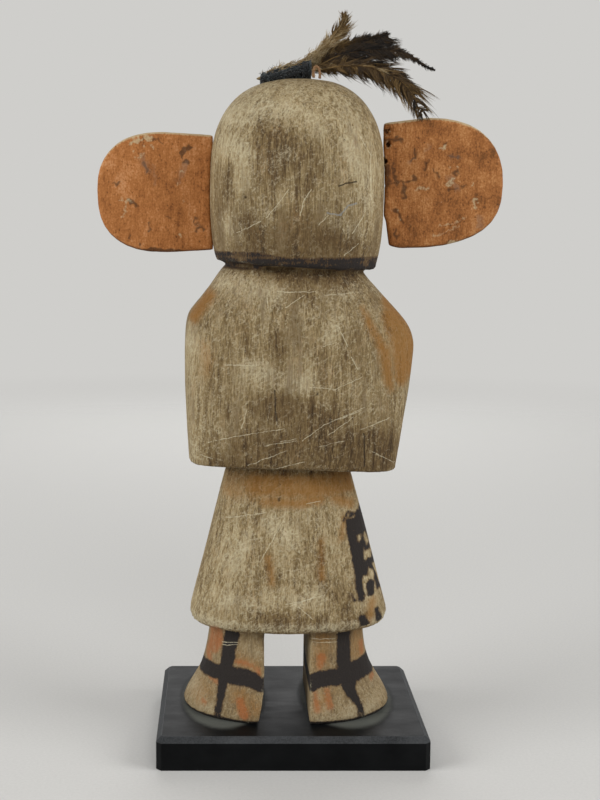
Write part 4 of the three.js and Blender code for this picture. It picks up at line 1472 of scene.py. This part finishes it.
@dataclass
class WoolWrap:
    """Twisted wool laid along the quills and wound round their ends."""

    node: bpy.types.Object
    left: float = 11.6
    right: float = -7.6
    ply: float = 0.42
    strands: int = 15
    fibres: int = 700
    seed: int = 21
    turns: Triple = (-7.2, -6.0, -4.9)  # where yarn is wound round the right end
    # The core: its left end in x and z, its length, its rise to the right, and its half height and half depth.
    core: tuple[float, ...] = (11.8, 261.6, 19.6, 4.0, 1.6, 4.6)

    def build(self, material: bpy.types.Material) -> None:
        """Build the wrap round its solid core.

        Args:
            material: the wool.
        """
        draw = random.Random(self.seed)
        yarn = Strands("wool_yarn", self.ply, 1)
        for strand in range(self.strands):
            start = 2 * math.pi * (strand + draw.uniform(-0.3, 0.3)) / self.strands
            drift = draw.uniform(0.5, 1.3)
            along = np.linspace(self.left - draw.uniform(0, 1.5), self.right, 44)
            self.twist(yarn, [self.on_core(x, start + drift * (self.left - x) / 20, 0.1) for x in along], draw)
        for place in self.turns:
            round_core = np.linspace(0, 2 * math.pi, 40)
            self.twist(yarn, [self.on_core(place + draw.gauss(0, 0.12), angle, 0.5) for angle in round_core], draw)
        slant = [self.on_core(9.4 + 1.2 * math.sin(angle), angle, 0.4) for angle in np.linspace(0, 2 * math.pi, 34)]
        self.twist(yarn, slant, draw)
        sag = ((3.7, 4.2, 260.2), (5.6, 5.2, 258.6), (8.2, 5.2, 258.4), (10.8, 4.4, 258.9), (11.4, 2.6, 260.4))
        self.twist(yarn, smooth_route(sag, 30), draw)
        wound = yarn.build()
        fuzz = self.fluff(draw)
        core = new_piece(merged(self.node), "wool_wrap")
        keep(core, "shade", np.full(len(core.data.vertices), 0.1))
        pieces = [core, wound, fuzz]
        with bpy.context.temp_override(
            active_object=core, object=core, selected_objects=pieces, selected_editable_objects=pieces
        ):
            bpy.ops.object.join()
        finish_piece(core, "yarn", material, self.node.name)

    def on_core(self, x: float, angle: float, proud: float) -> Vector:
        """Find a place on the wrap's surface.

        Args:
            x: the place along the wrap.
            angle: the turn round it, from the doll's back upwards.
            proud: how far above the core.

        Returns:
            The place.
        """
        left, low, length, rise, half_high, half_deep = self.core
        share = (left - x) / length
        lump = 0.35 * math.sin(1.1 * x + 0.6) + 0.25 * math.sin(2.3 * x + 2 * angle)
        height = (half_high + 1.9 * share + proud + lump) * math.sin(angle)
        return Vector((x, (half_deep + proud) * math.cos(angle), low + rise * share + height))

    def twist(self, yarn: Strands, route: list[Vector], draw: random.Random) -> None:
        """Lay one two-ply yarn along a route.

        Args:
            yarn: the wrap's fibres.
            route: the middle of the yarn.
            draw: the wrap's own dice.
        """
        tone, phase = draw.uniform(0.2, 0.75), draw.uniform(0, 6.3)
        count = len(route)
        widths = [0.05] + [1.0] * (count - 2) + [0.05]
        # A ripple of shade along each strand reaches the ramp's paler end, which are painted highlights.
        shades = [tone + 0.12 * math.sin(phase + step * 0.9) for step in range(count)]
        for half_turn in (0.0, math.pi):
            ply = []
            for step, place in enumerate(route):
                ahead = (route[min(step + 1, count - 1)] - route[max(step - 1, 0)]).normalized()
                one = ahead.cross(Vector((0.3, 0.2, 0.93))).normalized()
                turn = phase + half_turn + step * 1.15
                ply.append(place + (one * math.cos(turn) + ahead.cross(one) * math.sin(turn)) * self.ply * 0.7)
            yarn.add(ply, widths, shades)

    def fluff(self, draw: random.Random) -> bpy.types.Object:
        """Raise loose fibres all over the wool.

        Args:
            draw: the wrap's own dice.

        Returns:
            The fibres.
        """
        fuzz = Strands("wool_fuzz", 0.07)
        for _ in range(self.fibres):
            x, angle = draw.uniform(self.right, self.left), draw.uniform(0, 2 * math.pi)
            start = self.on_core(x, angle, 0.2)
            out = self.on_core(x, angle, 1.3) - start
            end = start + out * draw.uniform(0.3, 1.2) + Vector([draw.gauss(0, 0.9) for _ in range(3)])
            middle = (start + end) / 2 + out * 0.3
            # Loose fibres reach up to the paler shades, which are painted highlights.
            fuzz.add((start, middle, end), (1.0, 0.9, 0.05), [draw.uniform(0.3, 1.0)] * 3)
        return fuzz.build()


@dataclass
class Plinth:
    """The black bevelled plinth."""

    node: bpy.types.Object
    rounding: float = 0.22
    level: float = 0.02  # faces that meet at less than this, in radians, are one face
    sharp: float = 0.3  # edges that turn more than this are rounded

    def build(self) -> None:
        """Build the plinth with softened edges."""
        shape = merged(self.node)
        bmesh.ops.dissolve_limit(shape, angle_limit=self.level, verts=shape.verts, edges=shape.edges)
        bmesh.ops.bevel(
            shape,
            geom=[edge for edge in shape.edges if edge.calc_face_angle(0) > self.sharp],
            offset=self.rounding * MM,
            offset_type="OFFSET",
            affect="EDGES",
            segments=2,
            profile=0.5,
            material=-1,
        )
        piece = new_piece(shape, "lacquered_plinth")
        # Bevel faces, which the finish lightens for wear and as a painted reflection.
        keep(piece, "edge", [0.2 < face.normal.z < 0.98 for face in piece.data.polygons], "FACE")
        finish_piece(piece, "plinth_black", DustyLacquer().build(), self.node.name)


@dataclass
class HideTie:
    """The small loop of hide that the bunch hangs on."""

    node: bpy.types.Object
    voxel: float = 0.22

    def build(self) -> None:
        """Build the loop with a slightly wrinkled skin."""
        piece = new_piece(merged(self.node), "hide_loop")
        remesh(piece, self.voxel)
        skin = Skin(piece)
        skin.relax(3)
        skin.push(0.1 * skin.waves((1.2, 1.2, 1.2), 2.0))
        finish_piece(piece, "hide", TAN_HIDE.build(), self.node.name)


# ---------- the studio ----------


@dataclass
class Studio:
    """The floor, the soft lights and the camera."""

    floor_half: float = 3000.0
    camera_place: Triple = (26.6, 554.5, 215.9)
    camera_pitch: float = 8.05
    lens: float = 63.0
    shift: float = 0.095

    def build(self) -> None:
        """Build the whole studio."""
        self.lay_floor()
        self.hang_light("left_wall", (900, 380, 520), 700, 7.4)
        self.hang_light("right_wall", (-900, 380, 560), 700, 7.0)
        self.hang_light("key", (-160, 900, 820), 500, 2.4)
        self.hang_light("front", (0, -900, 600), 900, 5.5)
        self.light_room()
        self.place_camera()

    def lay_floor(self) -> None:
        """Lay a pale paper floor that melts into the room far from the doll."""
        shape = bmesh.new()
        bmesh.ops.create_grid(shape, x_segments=1, y_segments=1, size=self.floor_half * MM)
        floor = new_piece(shape, "floor")
        material, tree = new_material("studio_paper")
        place = add_node(tree, "TexCoord", output="Object")
        away = add_node(tree, "VectorMath", {0: place}, output="Value", operation="LENGTH")
        fade = {"Value": away, "From Min": 0.42, "From Max": 1.25}
        clear = add_node(tree, "MapRange", fade, interpolation_type="SMOOTHSTEP")
        fibre = grain(tree, (1.2, 1.2, 1.2), 2.0)
        colour = add_node(tree, "ValToRGB", {"Fac": fibre}, stops=((0.3, "#cdccc9"), (0.7, "#d2d1ce")))
        paper = add_node(tree, "BsdfPrincipled", {"Base Color": colour, "Roughness": 0.95})
        faded = add_node(tree, "MixShader", {0: clear, 1: paper, 2: add_node(tree, "BsdfTransparent")})
        add_node(tree, "OutputMaterial", {"Surface": faded})
        floor.data.materials.append(material)

    def hang_light(self, name: str, place: Triple, size: float, power: float) -> None:
        """Hang one soft light that points at the doll.

        Args:
            name: the light's name.
            place: where it hangs.
            size: its side.
            power: its watts.
        """
        data = bpy.data.lights.new(name, "AREA")
        data.size, data.energy = size * MM, power
        light = placed(name, data)
        light.location = Vector(place) * MM
        light.rotation_euler = (Vector((0, 0, 130)) * MM - light.location).to_track_quat("-Z", "Y").to_euler()

    def light_room(self) -> None:
        """Give the room its pale even light."""
        world = bpy.data.worlds.new("room")
        bpy.context.scene.world = world
        world.use_nodes = True
        tree = world.node_tree
        tree.nodes.clear()
        seen = add_node(tree, "Background", {"Color": linear("#cfcecb"), "Strength": 1.0})
        felt = add_node(tree, "Background", {"Color": linear("#e3e2df"), "Strength": 0.2})
        direct = add_node(tree, "LightPath", output="Is Camera Ray")
        add_node(tree, "OutputWorld", {"Surface": add_node(tree, "MixShader", {0: direct, 1: felt, 2: seen})})
        bpy.context.scene.view_settings.view_transform = "Standard"

    def place_camera(self) -> None:
        """Place the camera behind the doll, looking slightly down."""
        data = bpy.data.cameras.new("camera")
        data.lens, data.sensor_width, data.shift_x = self.lens, 36.0, self.shift
        camera = placed("camera", data)
        camera.location = Vector(self.camera_place) * MM
        camera.rotation_euler = (math.radians(90 - self.camera_pitch), 0.0, math.radians(180))
        bpy.context.scene.camera = camera


def main() -> None:
    """Build the doll and its studio."""
    logging.basicConfig(level=logging.INFO, format="%(name)s: %(message)s")
    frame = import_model()
    nodes = frame["nodes"]
    Studio().build()
    CarvedFigure(nodes["carved_figure"]).build()
    for ear in EARS:
        ear.build(nodes[ear.node])
    Plinth(nodes["plinth"]).build()
    WoolWrap(nodes["yarn_wrap"]).build(WOOL_YARN.build())
    HideTie(nodes["hide_tie"]).build()
    barbs = FEATHER_BARBS.build()
    for plume in PLUMES:
        plume.build(barbs)


if __name__ == "__main__":
    main()
